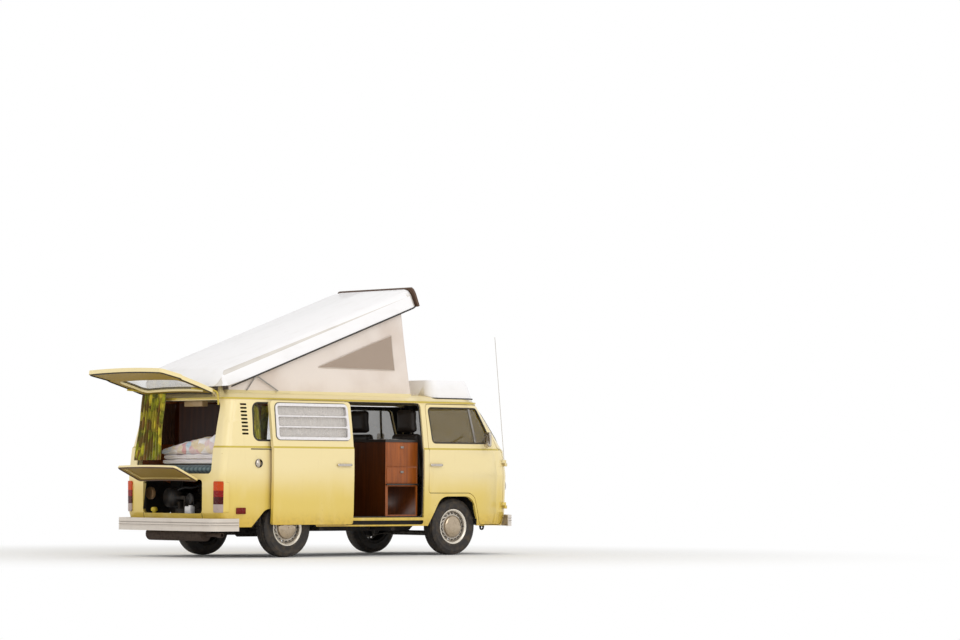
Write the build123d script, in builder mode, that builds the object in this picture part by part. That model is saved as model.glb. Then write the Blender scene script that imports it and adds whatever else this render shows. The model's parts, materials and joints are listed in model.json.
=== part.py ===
"""Camper van with a hinged pop-up roof: a rear-engined one-box body, in millimetres.

X points forward, Y to the left and Z up. The origin is on the ground, half way
between the axles, on the centre plane. The sliding door, tailgate, engine lid and
roof stand open.
"""

import math
import os

from build123d import *

# Running gear
WHEELBASE = 2400.0
TRACK_FRONT = 1395.0
TRACK_REAR = 1455.0
TYRE_RADIUS = 320.0
TYRE_HALF_WIDTH = 92.0
RIM_LIP_RADIUS = 195.0
BEAD_RADIUS = 178.0
RIM_HALF_WIDTH = 76.0
RIM_SHEET = 7.0
BEAD_GAP = 0.3
WHEEL_SLOTS = 18
DRUM_RADIUS = 125.0
SPINDLE_RADIUS = 16.5
SPINDLE_FIT = 0.5
KINGPIN_OFFSET = 640.0
KINGPIN_RADIUS = 17.0
KINGPIN_HALF_LENGTH = 95.0

# Body shell
WALL = 42.0
SEAT = 0.3
DOOR_GAP = 7.0
GLASS_INSET = 14.0
GLASS_THICKNESS = 6.0
BODY_BOTTOM = 330.0
BELT_HEIGHT = 1180.0
GUTTER_HEIGHT = 1705.0
GUTTER_DEPTH = 17.0
GUTTER_REACH = 12.0
FRONT_SPLIT = 1575.0
REAR_SPLIT = -1960.0
SHEET = 14.0

# Floors
CARGO_FLOOR = 400.0
FLOOR_THICKNESS = 55.0
CAB_FLOOR = 480.0
WHEELHOUSE_TOP = 700.0
FRONT_WHEELHOUSE_INNER = 425.0
REAR_WHEELHOUSE_INNER = 600.0
FRONT_WHEELHOUSE_REACH = (852.0, 1540.0)
REAR_WHEELHOUSE_REACH = (-1565.0, -835.0)
DECK_HEIGHT = 900.0
DECK_FRONT = -980.0
DECK_THICKNESS = 30.0

# Sliding door: how far it stands back and out from its opening
SLIDE_BACK = 1069.0
SLIDE_OUT = 75.0

# Tailgate, engine lid and roof hinges, and how far each stands open
TAILGATE_HINGE = (-1972.0, 1763.0)
TAILGATE_OPEN = 95.0
TAILGATE_ARM = (500.0, 26.0)
TAILGATE_PIN_RADIUS = 4.0
ENGINE_LID_HINGE = (-2170.0, 845.0)
ENGINE_LID_OPEN = 115.0
LID_HINGE_Y = 330.0
LID_HINGE_WIDTH = 32.0
LID_HINGE_RADIUS = 5.0
ROOF_HINGE = (-1955.0, 1838.0)
ROOF_OPEN = 20.0
ROOF_WALL = 12.0
FRONT_DOOR_HINGE = (1902.0, 866.0)

RAIL_INNER = 368.0
RAIL_OUTER = 424.0

# Body outline at a few heights. Columns: height, nose, tail, half width,
# front corner radius, front bow, rear corner radius, rear bow
BODY_SECTIONS = [
    (BODY_BOTTOM, 2092.0, -2122.0, 836.0, 290.0, 60.0, 66.0, 18.0),
    (480.0, 2122.0, -2163.0, 850.0, 290.0, 62.0, 66.0, 20.0),
    (900.0, 2140.0, -2165.0, 860.0, 300.0, 64.0, 68.0, 22.0),
    (BELT_HEIGHT, 2102.0, -2130.0, 858.0, 300.0, 70.0, 70.0, 22.0),
    (1200.0, 2078.0, -2118.0, 846.0, 290.0, 72.0, 72.0, 22.0),
    (1450.0, 1912.0, -2068.0, 813.0, 280.0, 76.0, 82.0, 22.0),
    (GUTTER_HEIGHT, 1738.0, -2010.0, 775.0, 270.0, 80.0, 95.0, 22.0),
]

# Roof above the gutter, same columns
ROOF_SECTIONS = [
    (GUTTER_HEIGHT, 1738.0, -2010.0, 775.0, 270.0, 80.0, 95.0, 22.0),
    (GUTTER_HEIGHT + GUTTER_DEPTH, 1726.0, -1998.0, 765.0, 265.0, 80.0, 95.0, 22.0),
    (1748.0, 1690.0, -1972.0, 732.0, 250.0, 78.0, 95.0, 20.0),
    (1768.0, 1610.0, -1915.0, 672.0, 230.0, 70.0, 95.0, 16.0),
    (1790.0, 1470.0, -1810.0, 590.0, 200.0, 60.0, 92.0, 12.0),
    (1804.0, 1310.0, -1670.0, 470.0, 170.0, 50.0, 88.0, 10.0),
]
ROOF_SHEET = 22.0

# Outlines seen from the side. Columns: x, z, corner radius
FRONT_DOOR = [
    (772.0, 700.0, 25.0), (1443.0, 700.0, 130.0), (1540.0, 343.0, 40.0), (1893.0, 343.0, 60.0),
    (1893.0, 1150.0, 40.0), (1800.0, 1212.0, 40.0), (1594.0, 1690.0, 55.0), (772.0, 1690.0, 35.0),
]
FRONT_DOOR_WINDOW = [
    (838.0, 1257.0, 45.0), (1718.0, 1257.0, 50.0), (1534.0, 1652.0, 60.0), (806.0, 1652.0, 45.0),
]
SLIDING_DOOR = [
    (-421.0, 354.0, 25.0), (694.0, 354.0, 25.0), (694.0, 1693.0, 45.0), (-421.0, 1693.0, 45.0),
]
SLIDING_DOOR_WINDOW = [
    (-372.0, 1272.0, 50.0), (656.0, 1272.0, 50.0), (640.0, 1668.0, 55.0), (-360.0, 1668.0, 55.0),
]
MIDDLE_WINDOW = [
    (-372.0, 1266.0, 55.0), (640.0, 1266.0, 55.0), (625.0, 1660.0, 60.0), (-360.0, 1660.0, 60.0),
]
QUARTER_WINDOW = [
    (-1690.0, 1262.0, 70.0), (-590.0, 1262.0, 60.0), (-580.0, 1666.0, 60.0), (-1672.0, 1666.0, 75.0),
]
FRONT_ARCH = [
    (700.0, 205.0, 0.0), (954.0, 659.0, 165.0), (1422.0, 659.0, 140.0), (1493.0, 400.0, 60.0),
    (1493.0, 205.0, 0.0),
]
REAR_ARCH = [
    (-1790.0, 250.0, 0.0), (-1535.0, 525.0, 120.0), (-935.0, 525.0, 110.0), (-780.0, 250.0, 0.0),
]

# Outlines seen along the van. Columns: y, z, corner radius
WINDSCREEN = [
    (-715.0, 1238.0, 90.0), (715.0, 1238.0, 90.0), (640.0, 1655.0, 110.0), (-640.0, 1655.0, 110.0),
]
TAILGATE = [
    (-676.0, 908.0, 45.0), (676.0, 908.0, 45.0), (646.0, 1676.0, 90.0), (-646.0, 1676.0, 90.0),
]
TAILGATE_OPENING = [
    (-683.0, 901.0, 50.0), (683.0, 901.0, 50.0), (654.0, 1692.0, 92.0), (-654.0, 1692.0, 92.0),
]
TAILGATE_WINDOW = [
    (-575.0, 1235.0, 80.0), (575.0, 1235.0, 80.0), (545.0, 1612.0, 80.0), (-545.0, 1612.0, 80.0),
]
ENGINE_LID = [
    (-528.0, 481.0, 35.0), (528.0, 481.0, 35.0), (528.0, 831.0, 35.0), (-528.0, 831.0, 35.0),
]

HALF_BASE = WHEELBASE / 2
AXLE_HEIGHT = TYRE_RADIUS
REACH = 1200.0
LENGTH_REACH = 3200.0
RIGHT = -1
LEFT = 1
SIDES = [("right", RIGHT), ("left", LEFT)]

os.makedirs("parts", exist_ok=True)
finished = []


def finish(part, label):
    """Name a finished piece, write it and keep it for the summary."""
    part.label = label
    export_step(part, f"parts/{label}.step")
    finished.append(part)


def plan_face(section, height_shift=0.0, inset=0.0):
    """Level outline with rounded corners and bowed ends, moved inwards by the inset."""
    height, nose, tail, half, front_radius, front_bow, rear_radius, rear_bow = section
    ends = []
    for tip, radius, bow, way in ((nose, front_radius, front_bow, 1), (tail, rear_radius, rear_bow, -1)):
        centre_y = half - radius
        bow_radius = ((radius + bow) ** 2 + centre_y ** 2 - radius ** 2) / (2 * bow)
        corner_x = tip - way * (bow + radius)
        bow_x = tip - way * bow_radius
        turn = math.atan2(centre_y, way * (corner_x - bow_x))
        corner = radius - inset
        middle = (math.pi / 2 + turn) / 2
        ends.append({
            "tip": tip - way * inset,
            "side_x": corner_x,
            "middle": (corner_x + way * corner * math.cos(middle), centre_y + corner * math.sin(middle)),
            "join": (corner_x + way * corner * math.cos(turn), centre_y + corner * math.sin(turn)),
        })
    front, rear = ends
    side_y = half - inset
    with BuildSketch(Plane.XY.offset(height + height_shift)) as outline:
        with BuildLine():
            Line((rear["side_x"], -side_y), (front["side_x"], -side_y))
            ThreePointArc((front["side_x"], -side_y), mirrored(front["middle"]), mirrored(front["join"]))
            ThreePointArc(mirrored(front["join"]), (front["tip"], 0), front["join"])
            ThreePointArc(front["join"], front["middle"], (front["side_x"], side_y))
            Line((front["side_x"], side_y), (rear["side_x"], side_y))
            ThreePointArc((rear["side_x"], side_y), rear["middle"], rear["join"])
            ThreePointArc(rear["join"], (rear["tip"], 0), mirrored(rear["join"]))
            ThreePointArc(mirrored(rear["join"]), mirrored(rear["middle"]), (rear["side_x"], -side_y))
        make_face()
    return outline.sketch.face()


def mirrored(point):
    """The same point across the centre plane."""
    return (point[0], -point[1])


def hull(sections, inset=0.0, overrun=0.0):
    """Solid through a table of level outlines, inset all round, longer at both ends by the overrun."""
    shifts = [-overrun] + [0.0] * (len(sections) - 2) + [overrun]
    with BuildPart() as solid:
        loft([plan_face(row, shift, inset) for row, shift in zip(sections, shifts)], ruled=True)
    return solid.part


def outline_prism(plane, corners, amount, grow=0.0):
    """Prism from an outline with rounded corners, which may be grown all round."""
    with BuildPart() as prism:
        with BuildSketch(plane):
            with BuildLine():
                FilletPolyline(*[(u, v) for u, v, _ in corners], radius=[r for _, _, r in corners], close=True)
            make_face()
            if grow:
                offset(amount=grow, kind=Kind.ARC)
        extrude(amount=amount)
    return prism.part


def side_prism(corners, side, grow=0.0):
    """Prism across one side of the body."""
    return outline_prism(Plane.XZ, corners, -side * REACH, grow)


def end_prism(corners, end, grow=0.0):
    """Prism along the van, forwards for 1 and rearwards for -1."""
    return outline_prism(Plane.YZ, corners, end * LENGTH_REACH, grow)


def section_at(height):
    """Body outline's row between two heights of the table."""
    for low, high in zip(BODY_SECTIONS, BODY_SECTIONS[1:]):
        if height <= high[0]:
            break
    share = (height - low[0]) / (high[0] - low[0])
    return [a + share * (b - a) for a, b in zip(low, high)]


def side_y(height, inset=0.0):
    """Distance of the flat side from the centre plane at a height."""
    return section_at(height)[3] - inset


def nose_x(y, height):
    """Front skin's x at a place on the bowed part of the nose."""
    _, nose, _, half, radius, bow, _, _ = section_at(height)
    centre_y = half - radius
    bow_radius = ((radius + bow) ** 2 + centre_y ** 2 - radius ** 2) / (2 * bow)
    return nose - bow_radius + math.sqrt(bow_radius ** 2 - y ** 2)


def block(low, high):
    """Box between two corners."""
    size = [b - a for a, b in zip(low, high)]
    return Pos(*low) * Box(*size, align=(Align.MIN, Align.MIN, Align.MIN), mode=Mode.PRIVATE)


def turned(part, hinge, angle):
    """The part turned about a hinge across the van, given by its x and z, towards +X from +Z."""
    return part.rotate(Axis((hinge[0], 0, hinge[1]), (0, 1, 0)), angle)


# Body shell, its cavity and the glass layer
outer_body = hull(BODY_SECTIONS)
cavity = hull(BODY_SECTIONS, WALL, overrun=1.0)
seated_cavity = hull(BODY_SECTIONS, WALL + SEAT)
shell = outer_body - cavity
glass_layer = hull(BODY_SECTIONS, GLASS_INSET) - hull(BODY_SECTIONS, GLASS_INSET + GLASS_THICKNESS, overrun=1.0)

# Vents behind the quarter window. Columns: first x, last x, lowest z, pitch, slot height, count
VENTS = (-1843.0, -1756.0, 1322.0, 39.5, 21.0, 9)
SLIDE_RAIL_HEIGHT = 1168.0
SLIDE_RAIL_DEPTH = 12.0
SLIDE_RAIL_REACH = (-1746.0, -452.0)
SLIDE_RAIL_FLOOR = 838.0
FUEL_CAP = (-1642.0, 1016.0)
FUEL_CAP_RADIUS = 46.0
REFLECTOR = (-1937.0, -1814.0, 471.0, 538.0)


def side_panel(side):
    """One side from the rear corner to the windscreen pillar, with its openings cut."""
    with BuildPart() as panel:
        add(shell)
        add(block((REAR_SPLIT, min(0, side * REACH), 0), (FRONT_SPLIT, max(0, side * REACH), 2000)),
            mode=Mode.INTERSECT)
        add(side_prism(FRONT_DOOR, side, DOOR_GAP), mode=Mode.SUBTRACT)
        add(end_prism(TAILGATE_OPENING, -1), mode=Mode.SUBTRACT)
        add(side_prism(FRONT_ARCH, side), mode=Mode.SUBTRACT)
        add(side_prism(REAR_ARCH, side), mode=Mode.SUBTRACT)
        add(side_prism(QUARTER_WINDOW, side), mode=Mode.SUBTRACT)
        if side == RIGHT:
            add(side_prism(SLIDING_DOOR, side, DOOR_GAP), mode=Mode.SUBTRACT)
        else:
            add(side_prism(MIDDLE_WINDOW, side), mode=Mode.SUBTRACT)
        first_x, last_x, low_z, pitch, slot, count = VENTS
        with BuildSketch(Plane.XZ.offset(-side * 600.0)):
            with Locations((( first_x + last_x) / 2, low_z + pitch * (count - 1) / 2 + slot / 2)):
                with GridLocations(0, pitch, 1, count):
                    SlotOverall(last_x - first_x, slot)
        extrude(amount=-side * 600.0, mode=Mode.SUBTRACT)
        # the wall is thin where the tyres run beside it
        for wheel_x, wall_y in ((-HALF_BASE, 836.0), (HALF_BASE, 820.0)):
            with BuildSketch(Plane.XZ.offset(-side * 600.0)):
                with Locations((wheel_x, AXLE_HEIGHT)):
                    Circle(TYRE_RADIUS + 45.0)
            extrude(amount=-side * (wall_y - 600.0), mode=Mode.SUBTRACT)
        if side == RIGHT:
            with BuildSketch(Plane.XZ.offset(SLIDE_RAIL_FLOOR)):
                with Locations(((SLIDE_RAIL_REACH[0] + SLIDE_RAIL_REACH[1]) / 2, SLIDE_RAIL_HEIGHT)):
                    Rectangle(SLIDE_RAIL_REACH[1] - SLIDE_RAIL_REACH[0], SLIDE_RAIL_DEPTH)
            extrude(amount=400.0, mode=Mode.SUBTRACT)
            with BuildSketch(Plane.XZ.offset(845.0)):
                with Locations(FUEL_CAP):
                    Circle(FUEL_CAP_RADIUS)
            extrude(amount=28.0)
        low_x, high_x, low_z, high_z = REFLECTOR
        with BuildSketch(Plane.XZ.offset(-side * 835.0)):
            with Locations(((low_x + high_x) / 2, (low_z + high_z) / 2)):
                RectangleRounded(high_x - low_x, high_z - low_z, 8)
        extrude(amount=-side * 28.0)
    return panel.part


for name, side in SIDES:
    finish(side_panel(side), f"{name}_side")

# Nose with windscreen opening, headlamp bowls and fresh-air grille
HEADLAMP = (560.0, 780.0)
HEADLAMP_RADIUS = 92.0
HEADLAMP_FACE = 2082.0
LENS_BULGE = 22.0
INDICATOR = (560.0, 1098.0, 168.0, 72.0)
GRILLE = (0.0, 1098.0, 820.0, 78.0)
GRILLE_BARS = 5
HINGE_HEIGHTS = (560.0, 1040.0)
AERIAL_FOOT = (1946.0, -799.0, 1033.0)
AERIAL_TIP = (1790.0, -802.0, 2470.0)
AERIAL_RADIUS = 3.0

with BuildPart() as front_panel:
    add(shell)
    add(block((FRONT_SPLIT, -REACH, 0), (LENGTH_REACH, REACH, 2000)), mode=Mode.INTERSECT)
    for _, side in SIDES:
        add(side_prism(FRONT_DOOR, side, DOOR_GAP), mode=Mode.SUBTRACT)
    add(end_prism(WINDSCREEN, 1), mode=Mode.SUBTRACT)
    with BuildSketch(Plane.YZ.offset(1700.0)):
        with Locations((HEADLAMP[0], HEADLAMP[1]), (-HEADLAMP[0], HEADLAMP[1])):
            Circle(HEADLAMP_RADIUS + SEAT)
    extrude(amount=600.0, mode=Mode.SUBTRACT)
    with BuildSketch(Plane.YZ.offset(1700.0)):
        with Locations((GRILLE[0], GRILLE[1])):
            with GridLocations(0, GRILLE[3] / GRILLE_BARS, 1, GRILLE_BARS):
                SlotOverall(GRILLE[2], GRILLE[3] / GRILLE_BARS - 6)
    extrude(amount=600.0, mode=Mode.SUBTRACT)
    # outside hinge barrels of the front doors, each on a leaf that reaches the skin
    for _, side in SIDES:
        for height in HINGE_HEIGHTS:
            with BuildSketch(Plane.XY.offset(height - 40.0)):
                with Locations((FRONT_DOOR_HINGE[0], side * FRONT_DOOR_HINGE[1])):
                    Circle(9.0)
                with Locations((FRONT_DOOR_HINGE[0] + 17.0, side * (FRONT_DOOR_HINGE[1] - 36.0))):
                    Rectangle(22.0, 72.0)
            extrude(amount=36.0)
    for _, side in SIDES:
        low_y, high_y = sorted((side * (RAIL_INNER - 2), side * (RAIL_OUTER + 2)))
        add(block((1900.0, low_y, 373.0), (2300.0, high_y, 426.7)), mode=Mode.SUBTRACT)
finish(front_panel.part, "front_panel")

with BuildPart() as aerial:
    foot, tip = Vector(*AERIAL_FOOT), Vector(*AERIAL_TIP)
    whip = Plane(foot, z_dir=tip - foot)
    with BuildSketch(whip):
        Circle(AERIAL_RADIUS)
    extrude(amount=(tip - foot).length)
    with BuildSketch(whip):
        Circle(12.0)
    extrude(amount=30.0)
    add(hull(BODY_SECTIONS, -SEAT), mode=Mode.SUBTRACT)
finish(aerial.part, "aerial")

# Rear corners with the lamp recesses, above the number plate and below the bumper
LAMP_HEIGHTS = (487.0, 820.0)
LAMP_INNER = 742.0
with BuildPart() as rear_panel:
    add(shell)
    add(block((-LENGTH_REACH, -REACH, 0), (REAR_SPLIT, REACH, 2000)), mode=Mode.INTERSECT)
    add(end_prism(TAILGATE_OPENING, -1), mode=Mode.SUBTRACT)
    add(end_prism(ENGINE_LID, -1, DOOR_GAP), mode=Mode.SUBTRACT)
    for _, side in SIDES:
        low_y, high_y = sorted((side * (RAIL_INNER - 2), side * (RAIL_OUTER + 2)))
        add(block((-2300.0, low_y, 343.0), (-2000.0, high_y, 402.0)), mode=Mode.SUBTRACT)
    hinge_x, hinge_z = ENGINE_LID_HINGE
    for side in (RIGHT, LEFT):
        with BuildSketch(Plane.XZ.offset(-side * LID_HINGE_Y)):
            with Locations(ENGINE_LID_HINGE):
                Circle(LID_HINGE_RADIUS)
            with Locations((hinge_x + 7.0, hinge_z + 4.0)):
                Rectangle(14.0, 2 * LID_HINGE_RADIUS)
        extrude(amount=-side * LID_HINGE_WIDTH)
finish(rear_panel.part, "rear_panel")

with BuildPart() as tail_lamps:
    add(hull(BODY_SECTIONS, -14.0))
    add(outer_body, mode=Mode.SUBTRACT)
    with BuildSketch(Plane.YZ.offset(-2040.0)):
        with Locations((LAMP_INNER + 60.0, sum(LAMP_HEIGHTS) / 2), (-LAMP_INNER - 60.0, sum(LAMP_HEIGHTS) / 2)):
            RectangleRounded(120.0, LAMP_HEIGHTS[1] - LAMP_HEIGHTS[0], 16)
    extrude(amount=-200.0, mode=Mode.INTERSECT)
finish(tail_lamps.part, "tail_lamps")

lens = HEADLAMP_RADIUS - 10.0
lens_radius = (lens ** 2 + LENS_BULGE ** 2) / (2 * LENS_BULGE)
with BuildPart() as headlamps:
    for _, side in SIDES:
        centre = (HEADLAMP_FACE, side * HEADLAMP[0], HEADLAMP[1])
        with BuildSketch(Plane(centre, x_dir=(1, 0, 0), z_dir=(0, -1, 0))):
            with BuildLine():
                Polyline((28 + LENS_BULGE, 0), (-45, 0), (-45, HEADLAMP_RADIUS), (22, HEADLAMP_RADIUS), (28, lens))
                ThreePointArc((28, lens), (28 + LENS_BULGE - lens_radius + math.sqrt(lens_radius ** 2 - lens ** 2 / 4),
                                           lens / 2), (28 + LENS_BULGE, 0))
            make_face()
        revolve(axis=Axis(centre, (1, 0, 0)))

with BuildPart() as indicators:
    add(hull(BODY_SECTIONS, -12.0))
    add(outer_body, mode=Mode.SUBTRACT)
    with BuildSketch(Plane.YZ.offset(1800.0)):
        with Locations((INDICATOR[0], INDICATOR[1]), (-INDICATOR[0], INDICATOR[1])):
            RectangleRounded(INDICATOR[2], INDICATOR[3], 14)
    extrude(amount=500.0, mode=Mode.INTERSECT)

with BuildPart() as front_lamps:
    add(headlamps.part)
    add(indicators.part)
finish(front_lamps.part, "front_lamps")

# Roof skin with its gutter, cut open under the pop-up roof, with the ears that its hinge turns in
ROOF_HINGE_LUG = (568.0, 576.0)
ROOF_LUG_SIDE = [(-14.0, -12.0), (14.0, -12.0), (70.0, 160.0), (20.0, 160.0)]
ROOF_PIN_RADIUS = 6.0
ROOF_EAR = (6.0, 22.0, 2.0)
ROOF_RIM = (-1886.0, 705.0, 632.0, 15.0, 1805.7)
ROOF_TRACKS = [(-1245.0, -1055.0, 1787.0), (-1740.0, -1625.0, 1782.0)]
ROOF_OPENING = (-1600.0, 640.0, 520.0)
roof_solid = hull(ROOF_SECTIONS)
with BuildPart() as roof_panel:
    add(roof_solid)
    with BuildSketch(Plane.XY.offset(GUTTER_HEIGHT)):
        add(plan_face(BODY_SECTIONS[-1], 0, -GUTTER_REACH).moved(Location((0, 0, -GUTTER_HEIGHT))))
    extrude(amount=GUTTER_DEPTH)
    add(hull(ROOF_SECTIONS, ROOF_SHEET, overrun=0.0).moved(Location((0, 0, -ROOF_SHEET))), mode=Mode.SUBTRACT)
    add(hull([BODY_SECTIONS[-1], (GUTTER_HEIGHT + 20.0,) + BODY_SECTIONS[-1][1:]], WALL, overrun=1.0)
        .moved(Location((0, 0, -10.0))), mode=Mode.SUBTRACT)
    with BuildSketch(Plane.XY.offset(1600.0)):
        with Locations(((ROOF_OPENING[0] + ROOF_OPENING[1]) / 2, 0)):
            RectangleRounded(ROOF_OPENING[1] - ROOF_OPENING[0], 2 * ROOF_OPENING[2], 90)
    extrude(amount=400.0, mode=Mode.SUBTRACT)
    # rim that the canvas is fixed to, round the opening
    low_x, high_x, half_y, rim, top = ROOF_RIM
    with BuildSketch(Plane.XY.offset(top)):
        with Locations(((low_x + high_x) / 2, 0)):
            RectangleRounded(high_x - low_x, 2 * half_y, 24)
            RectangleRounded(high_x - low_x - 2 * rim, 2 * (half_y - rim), 12, mode=Mode.SUBTRACT)
    extrude(amount=GUTTER_HEIGHT + 30.0 - top)
    add(hull(ROOF_SECTIONS, ROOF_SHEET, overrun=0.0).moved(Location((0, 0, -ROOF_SHEET))), mode=Mode.SUBTRACT)
    ear_thickness, ear_half, ear_gap = ROOF_EAR
    for side in (RIGHT, LEFT):
        for low in (ROOF_HINGE_LUG[0] - ear_gap - ear_thickness, ROOF_HINGE_LUG[1] + ear_gap):
            with BuildSketch(Plane.XZ.offset(-side * low)):
                with BuildLine():
                    Polyline((ROOF_HINGE[0] - 12, ROOF_HINGE[1] + 12), (ROOF_HINGE[0] + 12, ROOF_HINGE[1] + 12),
                             (ROOF_HINGE[0] + 3 * ear_half, 1750.0), (ROOF_HINGE[0] + 3 * ear_half, 1736.0),
                             (ROOF_HINGE[0] - ear_half + 10, 1736.0), close=True)
                make_face()
            extrude(amount=-side * ear_thickness)
        with BuildSketch(Plane.XZ.offset(-side * (ROOF_HINGE_LUG[0] - ear_gap - 1))):
            with Locations(ROOF_HINGE):
                Circle(ROOF_PIN_RADIUS)
        extrude(amount=-side * (ROOF_HINGE_LUG[1] - ROOF_HINGE_LUG[0] + 2 * ear_gap + 2))
        arm_y, arm_width = TAILGATE_ARM
        for low in (arm_y - arm_width / 2 - SEAT - ear_thickness, arm_y + arm_width / 2 + SEAT):
            with BuildSketch(Plane.XZ.offset(-side * low)):
                with BuildLine():
                    Polyline((TAILGATE_HINGE[0] - 8, TAILGATE_HINGE[1] + 7), (TAILGATE_HINGE[0] + 8, TAILGATE_HINGE[1] + 7),
                             (TAILGATE_HINGE[0] + 45, 1740.0), (TAILGATE_HINGE[0] - 6, 1736.0), close=True)
                make_face()
            extrude(amount=-side * ear_thickness)
        with BuildSketch(Plane.XZ.offset(-side * (arm_y - arm_width / 2 - SEAT - 1))):
            with Locations(TAILGATE_HINGE):
                Circle(TAILGATE_PIN_RADIUS)
        extrude(amount=-side * (arm_width + 2 * SEAT + 2))
        for low_x, high_x, top in ROOF_TRACKS:
            with BuildSketch(Plane.XY.offset(top)):
                with Locations(((low_x + high_x) / 2, side * 649.0)):
                    Rectangle(high_x - low_x, 14.0)
            extrude(amount=-16.0)
finish(roof_panel.part, "roof_panel")

# Glass
with BuildPart() as windscreen:
    add(glass_layer)
    add(end_prism(WINDSCREEN, 1, -SEAT), mode=Mode.INTERSECT)
finish(windscreen.part, "windscreen")

with BuildPart() as side_glass:
    add(glass_layer)
    with BuildPart(mode=Mode.PRIVATE) as panes:
        for _, side in SIDES:
            add(side_prism(QUARTER_WINDOW, side, -SEAT))
        add(side_prism(MIDDLE_WINDOW, LEFT, -SEAT))
    add(panes.part, mode=Mode.INTERSECT)
finish(side_glass.part, "side_glass")

# Front doors
DOOR_HANDLE = (862.0, 1010.0, 176.0, 26.0)
VENT_BAR = ((1409.0, 1661.0), (1480.0, 1253.0))
VENT_BAR_WIDTH = 26.0
MIRROR_CENTRE = (1560.0, 948.0, 1300.0)


def front_door(side):
    """Hinged front door with its window cut, quarter-light bar, handle and mirror."""
    with BuildPart() as door:
        add(shell)
        add(side_prism(FRONT_DOOR, side), mode=Mode.INTERSECT)
        add(side_prism(FRONT_DOOR_WINDOW, side), mode=Mode.SUBTRACT)
        # dividing bar of the quarter light, inside the thickness of the frame
        with BuildPart(mode=Mode.PRIVATE) as bar:
            (top_x, top_z), (low_x, low_z) = VENT_BAR
            half = VENT_BAR_WIDTH / 2
            with BuildSketch(Plane.XZ):
                with BuildLine():
                    Polyline((top_x - half, top_z + 10), (top_x + half, top_z + 10),
                             (low_x + half, low_z - 10), (low_x - half, low_z - 10), close=True)
                make_face()
            extrude(amount=-side * REACH)
            add(hull(BODY_SECTIONS, 4.0) - hull(BODY_SECTIONS, GLASS_INSET - SEAT, overrun=1.0), mode=Mode.INTERSECT)
        add(bar.part)
        # handle: a bar on two feet
        centre_x, centre_z, length, height = DOOR_HANDLE
        with BuildSketch(Plane.XZ.offset(-side * 872.0)):
            with Locations((centre_x, centre_z)):
                SlotOverall(length, height)
        extrude(amount=-side * 14.0)
        with BuildSketch(Plane.XZ.offset(-side * 840.0)):
            with Locations((centre_x, centre_z)):
                with GridLocations(length - 40.0, 0, 2, 1):
                    Circle(9.0)
        extrude(amount=-side * 33.0)
        # mirror: arm from the frame, then the head
        arm_foot = (1650.0, side * 838.0, 1205.0)
        head = (MIRROR_CENTRE[0], side * MIRROR_CENTRE[1], MIRROR_CENTRE[2])
        with BuildSketch(Plane(arm_foot, z_dir=Vector(*head) - Vector(*arm_foot))):
            Circle(6.0)
        extrude(amount=(Vector(*head) - Vector(*arm_foot)).length)
        with BuildSketch(Plane.YZ.offset(head[0] - 14.0)):
            with Locations((head[1], head[2])):
                RectangleRounded(104.0, 168.0, 26)
        extrude(amount=26.0)
        for height in HINGE_HEIGHTS:
            with BuildSketch(Plane.XY.offset(height - 4.0 + SEAT)):
                with Locations((FRONT_DOOR_HINGE[0], side * FRONT_DOOR_HINGE[1])):
                    Circle(9.0)
                with Locations((FRONT_DOOR_HINGE[0] - 20.0, side * (FRONT_DOOR_HINGE[1] - 32.0))):
                    Rectangle(30.0, 68.0)
            extrude(amount=36.0)
    return door.part


for name, side in SIDES:
    finish(front_door(side), f"front_door_{name}")
    with BuildPart() as door_glass:
        add(glass_layer)
        add(side_prism(FRONT_DOOR_WINDOW, side, -SEAT), mode=Mode.INTERSECT)
    finish(door_glass.part, f"front_door_glass_{name}")

# Sliding door, stood back beside the rear quarter, with its louvred window
slide = Location((-SLIDE_BACK, -SLIDE_OUT, 0))
SLIDING_HANDLE = (546.0, 1003.0, 200.0, 26.0)
LOUVRE_BARS = 2
LOUVRE_FRAME = 24.0
with BuildPart() as sliding_door:
    add(shell)
    add(side_prism(SLIDING_DOOR, RIGHT), mode=Mode.INTERSECT)
    add(side_prism(SLIDING_DOOR_WINDOW, RIGHT), mode=Mode.SUBTRACT)
    centre_x, centre_z, length, height = SLIDING_HANDLE
    with BuildSketch(Plane.XZ.offset(872.0)):
        with Locations((centre_x, centre_z)):
            SlotOverall(length, height)
    extrude(amount=14.0)
    with BuildSketch(Plane.XZ.offset(840.0)):
        with Locations((centre_x, centre_z)):
            with GridLocations(length - 40.0, 0, 2, 1):
                Circle(9.0)
    extrude(amount=33.0)
finish(sliding_door.part.moved(slide), "sliding_door")

louvre_height = (SLIDING_DOOR_WINDOW[2][1] - SLIDING_DOOR_WINDOW[0][1] - 2 * LOUVRE_FRAME) / (LOUVRE_BARS + 1)
with BuildPart() as louvre_frame:
    add(hull(BODY_SECTIONS, -12.0) - hull(BODY_SECTIONS, 8.0, overrun=1.0))
    add(side_prism(SLIDING_DOOR_WINDOW, RIGHT, -SEAT), mode=Mode.INTERSECT)
    with BuildPart(mode=Mode.PRIVATE) as lights:
        low_z = SLIDING_DOOR_WINDOW[0][1] + LOUVRE_FRAME
        with BuildSketch(Plane.XZ):
            for row in range(LOUVRE_BARS + 1):
                with Locations((142.0, low_z + louvre_height * (row + 0.5))):
                    RectangleRounded(952.0, louvre_height - 14.0, 18)
        extrude(amount=REACH)
    add(lights.part, mode=Mode.SUBTRACT)
finish(louvre_frame.part.moved(slide), "louvre_frame")

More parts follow.
